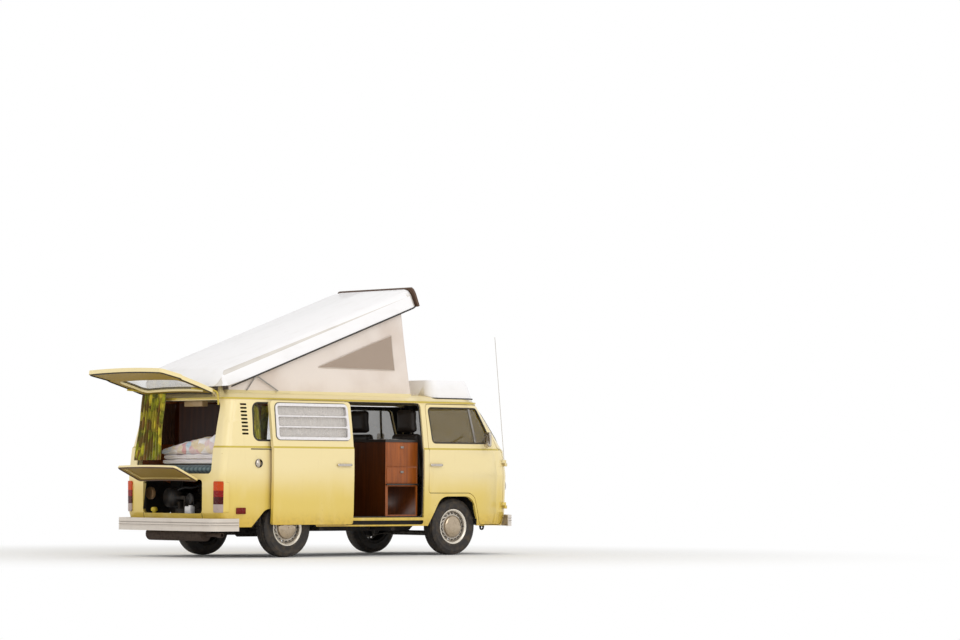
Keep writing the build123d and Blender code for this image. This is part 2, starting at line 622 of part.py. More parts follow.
with BuildPart() as louvre_glass:
    add(glass_layer)
    with BuildPart(mode=Mode.PRIVATE) as lights:
        with BuildSketch(Plane.XZ):
            for row in range(LOUVRE_BARS + 1):
                with Locations((142.0, low_z + louvre_height * (row + 0.5))):
                    Rectangle(1200.0, louvre_height - 4.0)
        extrude(amount=REACH)
    add(lights.part, mode=Mode.INTERSECT)
    add(side_prism(SLIDING_DOOR_WINDOW, RIGHT, -SEAT), mode=Mode.INTERSECT)
finish(louvre_glass.part.moved(slide), "louvre_glass")

# Arms that carry the open sliding door: the waist arm runs in the slot, the others in the opening.
# Columns: low corner, high corner
DOOR_ARMS = [
    ((-1496.0, -890.4, SLIDE_RAIL_HEIGHT - 5.6), (-1466.0, -SLIDE_RAIL_FLOOR - SEAT, SLIDE_RAIL_HEIGHT + 5.6)),
    ((-404.0, -813.0, 1652.0), (-380.0, -745.0, 1664.0)),
    ((-404.0, -770.0, 1652.0), (-380.0, -745.0, 1691.5)),
    ((-424.0, -872.5, 372.0), (-396.0, -799.4, 384.0)),
]
with BuildPart() as door_arms:
    for low, high in DOOR_ARMS:
        add(block(low, high))
finish(door_arms.part, "door_arms")

# Tailgate and engine lid
PLATE = (0.0, 1040.0, 520.0, 130.0)
closed_gate = shell & end_prism(TAILGATE, -1) - end_prism(TAILGATE_WINDOW, -1)
gate_arms = []
for side in (RIGHT, LEFT):
    low = side * TAILGATE_ARM[0] - TAILGATE_ARM[1] / 2
    with BuildPart() as arm:
        with BuildSketch(Plane.XZ.offset(-low - TAILGATE_ARM[1])):
            with BuildLine():
                Polyline((TAILGATE_HINGE[0] + 8, TAILGATE_HINGE[1] + 6), (TAILGATE_HINGE[0] - 40, TAILGATE_HINGE[1] - 4),
                         (-2028, 1736), (-2028, 1664), (-2024, 1640), (-1992, 1640), (-1994, 1660), (-2017, 1668),
                         (-2018, 1730), (TAILGATE_HINGE[0] - 30, TAILGATE_HINGE[1] - 14),
                         (TAILGATE_HINGE[0] + 8, TAILGATE_HINGE[1] - 6), close=True)
            make_face()
            with Locations(TAILGATE_HINGE):
                Circle(2 * TAILGATE_PIN_RADIUS)
                Circle(TAILGATE_PIN_RADIUS + SEAT, mode=Mode.SUBTRACT)
        extrude(amount=TAILGATE_ARM[1])
    gate_arms.append(arm.part)
with BuildPart() as tailgate:
    add(closed_gate)
    add(gate_arms)
finish(turned(tailgate.part, TAILGATE_HINGE, TAILGATE_OPEN), "tailgate")

with BuildPart() as tailgate_glass:
    add(glass_layer)
    add(end_prism(TAILGATE_WINDOW, -1, -SEAT), mode=Mode.INTERSECT)
finish(turned(tailgate_glass.part, TAILGATE_HINGE, TAILGATE_OPEN), "tailgate_glass")

LID_SHEET = 22.0
with BuildPart() as engine_lid:
    add(outer_body)
    add(hull(BODY_SECTIONS, LID_SHEET, overrun=1.0), mode=Mode.SUBTRACT)
    add(end_prism(ENGINE_LID, -1), mode=Mode.INTERSECT)
    with BuildSketch(Plane.YZ.offset(-2120.0)):
        with Locations((0, 656.0)):
            Rectangle(900.0, 240.0)
    extrude(amount=-30.0, mode=Mode.SUBTRACT)
    for side in (RIGHT, LEFT):
        with BuildSketch(Plane.XZ.offset(-side * (LID_HINGE_Y + LID_HINGE_WIDTH + SEAT))):
            with Locations(ENGINE_LID_HINGE):
                Circle(LID_HINGE_RADIUS)
            with Locations((ENGINE_LID_HINGE[0] + 3.0, ENGINE_LID_HINGE[1] - 13.0)):
                Rectangle(11.0, 26.0)
            with Locations((ENGINE_LID_HINGE[0] + 12.0, ENGINE_LID_HINGE[1] - 23.0)):
                Rectangle(28.0, 12.0)
        extrude(amount=-side * LID_HINGE_WIDTH)
finish(turned(engine_lid.part, ENGINE_LID_HINGE, ENGINE_LID_OPEN), "engine_lid")

# Folding links each side: apex on the roof, feet on the body's tracks. Points are x, z
LINK_APEX = (-1517.0, 1964.0)
LINK_HALF_HEIGHT = 6.0
LINK_PIN_RADIUS = 4.0
LINK_PIN_FIT = 0.5
LINK_LUG = (656.0, 664.0)
# Columns: name, foot x and z, inner y, outer y
LINKS = [
    ("roof_links_front", (-1226.0, 1804.0), 649.0, 655.0),
    ("roof_links_rear", (-1645.0, 1806.0), 641.0, 647.0),
]

# Pop-up roof: closed outline from above at a few heights over its hinge, and its side outline.
# Columns: height over the hinge, front, rear, half width, corner radius
LID_SECTIONS = [
    (-30.0, 2875.0, -104.0, 690.0, 120.0),
    (120.0, 2868.0, -100.0, 680.0, 120.0),
    (168.0, 2852.0, -80.0, 664.0, 110.0),
    (190.0, 2825.0, -60.0, 636.0, 90.0),
]
LID_SIDE = [
    (-100.0, 36.0, 0.0), (40.0, -2.0, 60.0), (400.0, -16.0, 300.0), (2900.0, -16.0, 0.0),
    (2900.0, 200.0, 0.0), (74.0, 200.0, 40.0),
]
opened = math.radians(ROOF_OPEN)
CLOSED_APEX = (
    ROOF_HINGE[0] + (LINK_APEX[0] - ROOF_HINGE[0]) * math.cos(opened) + (LINK_APEX[1] - ROOF_HINGE[1]) * math.sin(opened),
    ROOF_HINGE[1] - (LINK_APEX[0] - ROOF_HINGE[0]) * math.sin(opened) + (LINK_APEX[1] - ROOF_HINGE[1]) * math.cos(opened),
)


def lid_hull(inset):
    """Pop-up roof's outer form, or the room inside it."""
    faces = []
    for height, front, rear, half, radius in LID_SECTIONS:
        with BuildSketch(Plane.XY.offset(ROOF_HINGE[1] + height - (inset if height > 0 else 0))) as level:
            with Locations((ROOF_HINGE[0] + (front + rear) / 2, 0)):
                RectangleRounded(front - rear - 2 * inset, 2 * (half - inset), radius - inset)
        faces.append(level.sketch.face())
    with BuildPart() as solid:
        loft(faces, ruled=True)
    return solid.part


with BuildPart() as pop_roof:
    add(lid_hull(0.0))
    add(outline_prism(Plane((ROOF_HINGE[0], REACH, ROOF_HINGE[1]), x_dir=(1, 0, 0), z_dir=(0, -1, 0)),
                      LID_SIDE, 2 * REACH), mode=Mode.INTERSECT)
    with BuildPart(mode=Mode.PRIVATE) as room:
        add(lid_hull(ROOF_WALL))
        add(outline_prism(Plane((ROOF_HINGE[0] + 2 * ROOF_WALL, REACH, ROOF_HINGE[1] - ROOF_WALL),
                                x_dir=(1, 0, 0), z_dir=(0, -1, 0)),
                          [(-150.0, -60.0, 0.0), (2900.0, -60.0, 0.0), (2900.0, 200.0, 0.0), (74.0, 200.0, 40.0),
                           (-100.0, 36.0, 0.0)], 2 * REACH), mode=Mode.INTERSECT)
    add(room.part, mode=Mode.SUBTRACT)
    # hinge lugs inside the rear wall, and the lugs with pins that the folding links hang on
    with BuildPart(mode=Mode.PRIVATE) as hinge_lugs:
        for side in (RIGHT, LEFT):
            with BuildSketch(Plane.XZ.offset(-side * ROOF_HINGE_LUG[0])):
                with BuildLine():
                    Polyline(*[(ROOF_HINGE[0] + x, ROOF_HINGE[1] + z) for x, z in ROOF_LUG_SIDE], close=True)
                make_face()
            extrude(amount=-side * (ROOF_HINGE_LUG[1] - ROOF_HINGE_LUG[0]))
        with BuildSketch(Plane.XZ.offset(-REACH)):
            with Locations(ROOF_HINGE):
                Circle(ROOF_PIN_RADIUS + LINK_PIN_FIT)
        extrude(amount=2 * REACH, mode=Mode.SUBTRACT)
        add(outline_prism(Plane((ROOF_HINGE[0] + ROOF_WALL / 2, REACH, ROOF_HINGE[1] - ROOF_WALL / 2),
                                x_dir=(1, 0, 0), z_dir=(0, -1, 0)),
                          [(-150.0, -60.0, 0.0), (2900.0, -60.0, 0.0), (2900.0, 200.0, 0.0), (74.0, 200.0, 40.0),
                           (-100.0, 36.0, 0.0)], 2 * REACH), mode=Mode.INTERSECT)
        add(lid_hull(ROOF_WALL / 2), mode=Mode.INTERSECT)
    add(hinge_lugs.part)
    apex_x, apex_z = CLOSED_APEX
    for side in (RIGHT, LEFT):
        lug_low, lug_high = LINK_LUG
        with BuildSketch(Plane.XZ.offset(-side * lug_low)):
            with BuildLine():
                Polyline((apex_x - 14, apex_z - 9), (apex_x + 14, apex_z - 9), (apex_x + 26, apex_z + 60),
                         (apex_x - 26, apex_z + 60), close=True)
            make_face()
        extrude(amount=-side * (lug_high - lug_low))
        with BuildSketch(Plane.XZ.offset(-side * lug_high)):
            with Locations((apex_x, apex_z + 46)):
                Rectangle(50.0, 28.0)
        extrude(amount=-side * (682.0 - lug_high))
        with BuildSketch(Plane.XZ.offset(-side * 639.0)):
            with Locations((apex_x, apex_z)):
                Circle(LINK_PIN_RADIUS)
        extrude(amount=-side * (lug_low - 639.0 + 1.0))
finish(turned(pop_roof.part, ROOF_HINGE, -ROOF_OPEN), "pop_roof")

# Canvas bellows under the raised roof, its side outline in x and z, and the mesh window's recess
TENT_HALF = 630.0
TENT_CLOTH = 6.0
TENT_SIDE = [(-1880.0, 1806.0), (699.0, 1806.0), (552.0, 2728.0), (-1880.0, 1850.0)]
TENT_MESH = [(-660.0, 2074.0), (396.0, 2455.0), (446.0, 2064.0)]
with BuildPart() as tent:
    with BuildSketch(Plane.XZ.offset(-TENT_HALF)):
        with BuildLine():
            Polyline(*TENT_SIDE, close=True)
        make_face()
    extrude(amount=2 * TENT_HALF)
    with BuildSketch(Plane.XZ.offset(-TENT_HALF + TENT_CLOTH)):
        with BuildLine():
            Polyline((TENT_SIDE[0][0] + TENT_CLOTH, 1700.0), (TENT_SIDE[1][0] + 10, 1700.0),
                     (TENT_SIDE[1][0] - TENT_CLOTH, 1806.0), (TENT_SIDE[2][0] - TENT_CLOTH, 2728.0),
                     (TENT_SIDE[2][0] - TENT_CLOTH, 2900.0), (TENT_SIDE[3][0] + TENT_CLOTH, 2900.0), close=True)
        make_face()
    extrude(amount=2 * (TENT_HALF - TENT_CLOTH), mode=Mode.SUBTRACT)
    for side in (RIGHT, LEFT):
        with BuildSketch(Plane.XZ.offset(-side * (TENT_HALF - 2.0))):
            with BuildLine():
                Polyline(*TENT_MESH, close=True)
            make_face()
        extrude(amount=-side * 10.0, mode=Mode.SUBTRACT)
finish(tent.part, "tent")

# Folding links, one pair to a node
for name, foot, inner_y, outer_y in LINKS:
    with BuildPart() as links:
        for side in (RIGHT, LEFT):
            with BuildSketch(Plane.XZ.offset(-side * inner_y)):
                make_hull([Edge.make_circle(LINK_HALF_HEIGHT).moved(Location((x, z, 0))) for x, z in (LINK_APEX, foot)])
            extrude(amount=-side * (outer_y - inner_y))
        with BuildSketch(Plane.XZ.offset(-REACH)):
            with Locations(LINK_APEX):
                Circle(LINK_PIN_RADIUS + LINK_PIN_FIT)
        extrude(amount=2 * REACH, mode=Mode.SUBTRACT)
    finish(links.part, name)

# Luggage tray of moulded plastic over the cab
TRAY_FLOOR = 1826.0
TRAY_WALL = 12.0
# Columns: height, front, rear, half width, corner radius
TRAY_SECTIONS = [
    (1727.0, 1612.0, 930.0, 705.0, 130.0),
    (1760.0, 1600.0, 930.0, 703.0, 130.0),
    (1925.0, 1528.0, 930.0, 690.0, 120.0),
    (1966.0, 1500.0, 930.0, 676.0, 110.0),
]


def tray_hull(inset):
    """Tray's outer form, or the room inside it."""
    faces = []
    for height, front, rear, half, radius in TRAY_SECTIONS:
        with BuildSketch(Plane.XY.offset(height + (1.0 if inset and height > 1960 else 0.0))) as level:
            with Locations(((front + rear) / 2, 0)):
                RectangleRounded(front - rear - 2 * inset, 2 * (half - inset), radius - inset)
        faces.append(level.sketch.face())
    with BuildPart() as solid:
        loft(faces, ruled=True)
    return solid.part


with BuildPart() as luggage_tray:
    add(tray_hull(0.0))
    # rear lower corner cut back, the roof's crown under it, and the tub
    add(outline_prism(Plane((0, REACH, 0), x_dir=(1, 0, 0), z_dir=(0, -1, 0)),
                      [(900.0, 1700.0, 0.0), (985.0, 1700.0, 0.0), (985.0, 1760.0, 0.0), (900.0, 1810.0, 0.0)],
                      2 * REACH), mode=Mode.SUBTRACT)
    add(hull(ROOF_SECTIONS, -SEAT), mode=Mode.SUBTRACT)
    with BuildPart(mode=Mode.PRIVATE) as tub:
        add(tray_hull(TRAY_WALL))
        add(block((0, -REACH, TRAY_FLOOR), (LENGTH_REACH, REACH, 2100)), mode=Mode.INTERSECT)
    add(tub.part, mode=Mode.SUBTRACT)
finish(luggage_tray.part, "luggage_tray")

# Floors, wheel boxes and the deck over the engine, trimmed to the room inside the shell.
# Columns: low x, high x, inner y, outer y, low z, high z, on both sides
front_low, front_high = FRONT_WHEELHOUSE_REACH
rear_low, rear_high = REAR_WHEELHOUSE_REACH
cargo_base = CARGO_FLOOR - FLOOR_THICKNESS
cab_base = CAB_FLOOR - FLOOR_THICKNESS
FLOOR_BLOCKS = [
    (DECK_FRONT, front_low, 0.0, REAR_WHEELHOUSE_INNER, cargo_base, CARGO_FLOOR),
    (rear_high, front_low, REAR_WHEELHOUSE_INNER - SHEET, REACH, cargo_base, CARGO_FLOOR),
    (front_low - SHEET, 2100.0, 0.0, FRONT_WHEELHOUSE_INNER, cab_base, CAB_FLOOR),
    (front_high, 2100.0, FRONT_WHEELHOUSE_INNER - SHEET, REACH, cab_base, CAB_FLOOR),
    (front_low - SHEET, front_high + SHEET, FRONT_WHEELHOUSE_INNER - SHEET, REACH, WHEELHOUSE_TOP - SHEET,
     WHEELHOUSE_TOP),
    (front_low - SHEET, front_high + SHEET, FRONT_WHEELHOUSE_INNER - SHEET, FRONT_WHEELHOUSE_INNER, cab_base,
     WHEELHOUSE_TOP),
    (front_low - SHEET, front_low, 0.0, REACH, cargo_base, WHEELHOUSE_TOP),
    (front_high, front_high + SHEET, FRONT_WHEELHOUSE_INNER - SHEET, REACH, cab_base, WHEELHOUSE_TOP),
    (rear_low - SHEET, rear_high + SHEET, REAR_WHEELHOUSE_INNER - SHEET, REACH, WHEELHOUSE_TOP - SHEET,
     WHEELHOUSE_TOP),
    (rear_low - SHEET, rear_high + SHEET, REAR_WHEELHOUSE_INNER - SHEET, REAR_WHEELHOUSE_INNER, cargo_base,
     WHEELHOUSE_TOP),
    (rear_high, rear_high + SHEET, REAR_WHEELHOUSE_INNER - SHEET, REACH, cargo_base, WHEELHOUSE_TOP),
    (rear_low - SHEET, rear_low, REAR_WHEELHOUSE_INNER - SHEET, REACH, cargo_base, DECK_HEIGHT - DECK_THICKNESS),
    (-2140.0, DECK_FRONT, 0.0, REACH, DECK_HEIGHT - DECK_THICKNESS, DECK_HEIGHT),
    (DECK_FRONT - SHEET, DECK_FRONT, 0.0, REACH, WHEELHOUSE_TOP - SHEET, DECK_HEIGHT),
    (DECK_FRONT - SHEET, DECK_FRONT, 0.0, REAR_WHEELHOUSE_INNER, cargo_base, DECK_HEIGHT),
]
with BuildPart() as floor:
    for low_x, high_x, inner_y, outer_y, low_z, high_z in FLOOR_BLOCKS:
        if inner_y:
            for side in (RIGHT, LEFT):
                low_y, high_y = sorted((side * inner_y, side * outer_y))
                add(block((low_x, low_y, low_z), (high_x, high_y, high_z)))
        else:
            add(block((low_x, -outer_y, low_z), (high_x, outer_y, high_z)))
    # half shafts pass through the rear wheel boxes, and feet stand in the cab's step well
    add(block((-HALF_BASE - 80, -700, 200), (-HALF_BASE + 80, 700, 420)), mode=Mode.SUBTRACT)
    add(seated_cavity, mode=Mode.INTERSECT)
    # the front doors' inner edges swing past the cab floor's corners
    for side in (RIGHT, LEFT):
        low_y, high_y = sorted((side * 760.0, side * 900.0))
        add(block((1812.0, low_y, 300.0), (1912.0, high_y, 1000.0)), mode=Mode.SUBTRACT)
finish(floor.part, "floor")

# Frame rails below the floors, with bumper irons, cross members and tow eyes
RAIL_SIDE = [
    (-2270.7, 345.0), (-1130.0, 345.0), (-990.0, 275.0), (840.0, 275.0), (960.0, 375.0), (2183.0, 375.0),
    (2183.0, 424.7), (871.0, 424.7), (871.0, 344.7), (-998.0, 344.7), (-1110.0, 400.0), (-2270.7, 400.0),
]
TOW_EYE_RADIUS = 14.0
TOW_EYE_THICKNESS = 14.0
TOW_EYES = [(1960.0, 376.0, 300.0), (-1860.0, 346.0, 285.0)]
CROSS_MEMBERS = [(-720.0, 285.0, 335.0), (300.0, 285.0, 335.0)]
with BuildPart() as underframe:
    for side in (RIGHT, LEFT):
        with BuildSketch(Plane.XZ.offset(-side * RAIL_INNER)):
            with BuildLine():
                Polyline(*RAIL_SIDE, close=True)
            make_face()
        extrude(amount=-side * (RAIL_OUTER - RAIL_INNER))
    for centre_x, low_z, high_z in CROSS_MEMBERS:
        add(block((centre_x - 30, -790.0, low_z), (centre_x + 30, 790.0, high_z)))
    for eye_x, top_z, eye_z in TOW_EYES:
        with BuildSketch(Plane.XZ.offset(RAIL_INNER + 20.0)):
            make_hull([Edge.make_circle(30.0).moved(Location((eye_x, eye_z, 0))),
                       Edge.make_line((eye_x - 45, top_z, 0), (eye_x + 45, top_z, 0))])
            with Locations((eye_x, eye_z)):
                Circle(TOW_EYE_RADIUS, mode=Mode.SUBTRACT)
        extrude(amount=TOW_EYE_THICKNESS)
finish(underframe.part, "underframe")


def bumper(end, low, high, reach_x, section):
    """Bumper that follows the body's corner, pressed from sheet with two grooves and turned edges."""
    level = (low,) + section
    with BuildPart() as bar:
        with BuildSketch(Plane.XY.offset(low)):
            add(plan_face(level).moved(Location((0, 0, -low))))
            add(plan_face(level, 0, BUMPER_DEPTH).moved(Location((0, 0, -low))), mode=Mode.SUBTRACT)
        extrude(amount=high - low)
        with BuildSketch(Plane.XY.offset(low + BUMPER_SHEET)):
            add(plan_face(level, 0, BUMPER_SHEET).moved(Location((0, 0, -low))))
            add(plan_face(level, 0, BUMPER_DEPTH + 1).moved(Location((0, 0, -low))), mode=Mode.SUBTRACT)
        extrude(amount=high - low - 2 * BUMPER_SHEET, mode=Mode.SUBTRACT)
        for share in (0.36, 0.64):
            with BuildSketch(Plane.XY.offset(low + (high - low) * share - 4)):
                add(plan_face(level, 0, -1.0).moved(Location((0, 0, -low))))
                add(plan_face(level, 0, 4.0).moved(Location((0, 0, -low))), mode=Mode.SUBTRACT)
            extrude(amount=8.0, mode=Mode.SUBTRACT)
        low_x, high_x = sorted((reach_x, end * LENGTH_REACH))
        add(block((low_x, -REACH, 0), (high_x, REACH, 1000)), mode=Mode.INTERSECT)
    return bar.part


BUMPER_DEPTH = 36.0
BUMPER_SHEET = 9.0
# Columns: nose, tail, half width, front corner radius, front bow, rear corner radius, rear bow
BUMPER_PLAN = (2224.0, -2290.0, 884.0, 320.0, 64.0, 76.0, 26.0)
with BuildPart() as bumpers:
    add(bumper(1, 322.0, 450.0, 1945.0, BUMPER_PLAN))
    add(bumper(-1, 287.0, 422.0, -1918.0, BUMPER_PLAN))
finish(bumpers.part, "bumpers")

# Kitchen unit, bench, mattress, seats, dashboard and steering column
KITCHEN = ((225.0, -745.0, CARGO_FLOOR + SEAT), (690.0, -200.0, 1290.0))
KITCHEN_TOP = 28.0
KITCHEN_OPENING = (262.0, 665.0, 455.0, 770.0)
KITCHEN_GROOVE = 985.0
with BuildPart() as kitchen_unit:
    low, high = KITCHEN
    add(block(low, high))
    # grooves between door and drawer and under the worktop, on the faces that show
    add(block((low[0] + 10, low[1] - 1, KITCHEN_GROOVE), (high[0] - 10, low[1] + 4, KITCHEN_GROOVE + 6)),
        mode=Mode.SUBTRACT)
    add(block((low[0] - 1, low[1] - 1, high[2] - KITCHEN_TOP - 5), (low[0] + 5, high[1] + 1, high[2] - KITCHEN_TOP)),
        mode=Mode.SUBTRACT)
    add(block((low[0] - 1, low[1] - 1, high[2] - KITCHEN_TOP - 5), (high[0] + 1, low[1] + 5, high[2] - KITCHEN_TOP)),
        mode=Mode.SUBTRACT)
    # open shelf
    low_x, high_x, low_z, high_z = KITCHEN_OPENING
    add(block((low_x, low[1] - 1, low_z), (high_x, low[1] + 330, high_z)), mode=Mode.SUBTRACT)

BENCH = ((DECK_FRONT + SEAT, -585.0, CARGO_FLOOR + SEAT), (-440.0, 585.0, DECK_HEIGHT))
with BuildPart() as bench:
    low, high = BENCH
    add(block(low, high))
    add(block((low[0] + 18, low[1] + 18, low[2] + 18), (high[0] - 18, high[1] - 18, high[2] - 18)),
        mode=Mode.SUBTRACT)
    add(block((high[0] - 20, -500, low[2] + 60), (high[0] + 1, 500, low[2] + 300)), mode=Mode.SUBTRACT)

# Slim cupboard against the left wall, standing on the deck
CUPBOARD = ((-1585.0, 655.0, DECK_HEIGHT + SEAT), (-715.0, 733.0, 1680.0))
with BuildPart() as furniture:
    add(kitchen_unit.part)
    add(bench.part)
    add(block(*CUPBOARD))
finish(furniture.part, "furniture")

MATTRESS_THICKNESS = 98.0
with BuildPart() as mattress:
    with BuildSketch(Plane.XY.offset(DECK_HEIGHT + SEAT)):
        with Locations(((-2078.0 - 445.0) / 2, 0)):
            RectangleRounded(2078.0 - 445.0, 1300.0, 60)
    extrude(amount=MATTRESS_THICKNESS)
    fillet(mattress.edges().filter_by(GeomType.LINE).group_by(Axis.Z)[-1], 24)
finish(mattress.part, "mattress")

SEAT_CENTRE = 420.0
SEAT_WIDTH = 470.0
# Side outline. Columns: x, z, corner radius
SEAT_SIDE = [
    (885.0, 770.0, 0.0), (1395.0, 770.0, 30.0), (1400.0, 880.0, 45.0), (1000.0, 868.0, 40.0),
    (868.0, 1400.0, 45.0), (772.0, 1400.0, 45.0),
]
HEADREST_SIDE = [(765.0, 1450.0, 30.0), (858.0, 1442.0, 30.0), (845.0, 1640.0, 35.0), (760.0, 1640.0, 35.0)]
with BuildPart() as front_seats:
    for side in (RIGHT, LEFT):
        centre = side * SEAT_CENTRE
        for outline, width in ((SEAT_SIDE, SEAT_WIDTH), (HEADREST_SIDE, 270.0)):
            with BuildSketch(Plane.XZ.offset(-centre - width / 2)):
                with BuildLine():
                    FilletPolyline(*[(x, z) for x, z, _ in outline], radius=[r for _, _, r in outline], close=True)
                make_face()
            extrude(amount=width)
        for post in (-60.0, 60.0):
            with BuildSketch(Plane.XY.offset(1380.0)):
                with Locations((818.0, centre + post)):
                    Circle(6.0)
            extrude(amount=80.0)
        add(block((900.0, min(side * 430.0, side * 640.0), WHEELHOUSE_TOP + SEAT),
                  (1370.0, max(side * 430.0, side * 640.0), 770.0)))
finish(front_seats.part, "front_seats")

DASH_SIDE = [
    (1800.0, 1075.0, 20.0), (2085.0, 1060.0, 0.0), (2085.0, 1205.0, 0.0), (1890.0, 1205.0, 40.0),
    (1815.0, 1165.0, 30.0),
]
with BuildPart() as dashboard:
    add(outline_prism(Plane((0, REACH, 0), x_dir=(1, 0, 0), z_dir=(0, -1, 0)), DASH_SIDE, 2 * REACH))
    add(seated_cavity, mode=Mode.INTERSECT)
    for side in (RIGHT, LEFT):
        add(side_prism(FRONT_DOOR, side, DOOR_GAP + 4.0), mode=Mode.SUBTRACT)

STEERING_HUB = Vector(1570.0, SEAT_CENTRE, 1140.0)
STEERING_AXIS = Vector(-0.5, 0.0, 0.8660254)
STEERING_RADIUS = 198.0
STEERING_RIM = 13.0
column_plane = Plane(STEERING_HUB, z_dir=STEERING_AXIS * -1)
with BuildPart() as steering_column:
    with BuildSketch(column_plane.offset(33.0 + SEAT)):
        Circle(24.0)
    extrude(amount=800.0)
    add(block((1000, 0, 0), (2200, 900, CAB_FLOOR + SEAT)), mode=Mode.SUBTRACT)

with BuildPart() as cockpit:
    add(dashboard.part)
    add(steering_column.part)
finish(cockpit.part, "dashboard")

with BuildPart() as steering_wheel:
    wheel_plane = Plane(STEERING_HUB, x_dir=(0, 1, 0), z_dir=STEERING_AXIS)
    with BuildSketch(Plane(STEERING_HUB, x_dir=wheel_plane.x_dir, z_dir=wheel_plane.y_dir)):
        with Locations((STEERING_RADIUS, 0)):
            Circle(STEERING_RIM)
    revolve(axis=Axis(STEERING_HUB, STEERING_AXIS))
    with BuildSketch(wheel_plane.offset(-12.0)):
        for angle in (0, 180):
            with PolarLocations(STEERING_RADIUS / 2, 1, angle):
                Rectangle(STEERING_RADIUS - 10, 44.0)
        Circle(52.0)
    extrude(amount=16.0)
    with BuildSketch(wheel_plane.offset(-33.0)):
        Circle(22.0)
    extrude(amount=30.0)
finish(steering_wheel.part, "steering_wheel")

# Curtains gathered beside the tailgate and the windows. Columns: centre x, side, half width along the wall,
# half thickness, low z, high z
WINDOW_CURTAINS = [
    (-1640.0, RIGHT, 48.0, 14.0, 1225.0, 1672.0),
    (-1640.0, LEFT, 48.0, 14.0, 1225.0, 1672.0),
    (-650.0, LEFT, 60.0, 14.0, 1225.0, 1672.0),
    (-330.0, LEFT, 60.0, 14.0, 1225.0, 1672.0),
    (590.0, LEFT, 60.0, 14.0, 1225.0, 1672.0),
]
# Rear curtain: x, y, half width across the van, half thickness and z at the hem and the heading
REAR_CURTAIN = [(-2060.0, 475.0, 175.0, 18.0, 998.6), (-1926.0, 475.0, 172.0, 18.0, 1640.0)]
with BuildPart() as curtains:
    for centre_x, side, half_x, half_y, low_z, high_z in WINDOW_CURTAINS:
        levels = []
        for level_z in (low_z, high_z):
            with BuildSketch(Plane.XY.offset(level_z)) as level:
                with Locations((centre_x, side * (side_y(level_z, WALL + SEAT) - half_y))):
                    RectangleRounded(2 * half_x, 2 * half_y, 0.8 * half_y)
            levels.append(level.sketch.face())
        loft(levels, ruled=True)
    levels = []
    for centre_x, centre_y, half_y, half_x, level_z in REAR_CURTAIN:
        with BuildSketch(Plane.XY.offset(level_z)) as level:
            with Locations((centre_x, centre_y)):
                RectangleRounded(2 * half_x, 2 * half_y, 0.8 * half_x)
        levels.append(level.sketch.face())
    loft(levels, ruled=True)
finish(curtains.part, "curtains")

# Front beam with trailing arms to the kingpins
BEAM_X = 1345.0
BEAM_HEIGHTS = (238.0, 344.0)
BEAM_RADIUS = 28.0
BEAM_HALF = 478.0
KINGPIN_HEIGHTS = (212.0, 428.0)
KINGPIN_EYE_HALF = 12.5
with BuildPart() as front_axle:
    for height in BEAM_HEIGHTS:
        with BuildSketch(Plane.XZ.offset(-BEAM_HALF)):
            with Locations((BEAM_X, height)):
                Circle(BEAM_RADIUS)
        extrude(amount=2 * BEAM_HALF)
    for side in (RIGHT, LEFT):
        low_y, high_y = sorted((side * (RAIL_INNER + 4), side * (RAIL_OUTER - 4)))
        add(block((BEAM_X - 40, low_y, 215.0), (BEAM_X + 40, high_y, 375.0)))
        for tube_z, pin_z in zip(BEAM_HEIGHTS, KINGPIN_HEIGHTS):
            with BuildSketch(Plane(origin=(BEAM_X, side * (BEAM_HALF - 14), tube_z),
                                   z_dir=(HALF_BASE - BEAM_X, side * (KINGPIN_OFFSET - BEAM_HALF + 14), pin_z - tube_z))):
                Circle(10.0)
            run = Vector(HALF_BASE - BEAM_X, side * (KINGPIN_OFFSET - BEAM_HALF + 14), pin_z - tube_z)
            extrude(amount=run.length)
            with BuildSketch(Plane.XY.offset(pin_z - KINGPIN_EYE_HALF)):
                with Locations((HALF_BASE, side * KINGPIN_OFFSET)):
                    Circle(18.0)
            extrude(amount=2 * KINGPIN_EYE_HALF)
        # room for the kingpin between its two eyes
        with BuildSketch(Plane.XY.offset(KINGPIN_HEIGHTS[0] + KINGPIN_EYE_HALF)):
            with Locations((HALF_BASE, side * KINGPIN_OFFSET)):
                Circle(KINGPIN_RADIUS + SEAT)
        extrude(amount=KINGPIN_HEIGHTS[1] - KINGPIN_HEIGHTS[0] - 2 * KINGPIN_EYE_HALF, mode=Mode.SUBTRACT)
finish(front_axle.part, "front_axle")

for name, side in SIDES:
    with BuildPart() as knuckle:
        with BuildSketch(Plane.XY.offset(KINGPIN_HEIGHTS[0] + KINGPIN_EYE_HALF + SEAT)):
            with Locations((HALF_BASE, side * KINGPIN_OFFSET)):
                Circle(KINGPIN_RADIUS)
        extrude(amount=KINGPIN_HEIGHTS[1] - KINGPIN_HEIGHTS[0] - 2 * (KINGPIN_EYE_HALF + SEAT))
        with BuildSketch(Plane.XZ.offset(-side * KINGPIN_OFFSET)):
            with Locations((HALF_BASE, AXLE_HEIGHT)):
                Circle(SPINDLE_RADIUS)
        extrude(amount=-side * (TRACK_FRONT / 2 + 38.0 - KINGPIN_OFFSET))
        add(block((HALF_BASE - 120, min(side * 612.0, side * 634.0), AXLE_HEIGHT - 12),
                  (HALF_BASE, max(side * 612.0, side * 634.0), AXLE_HEIGHT + 12)))
    finish(knuckle.part, f"knuckle_{name}")

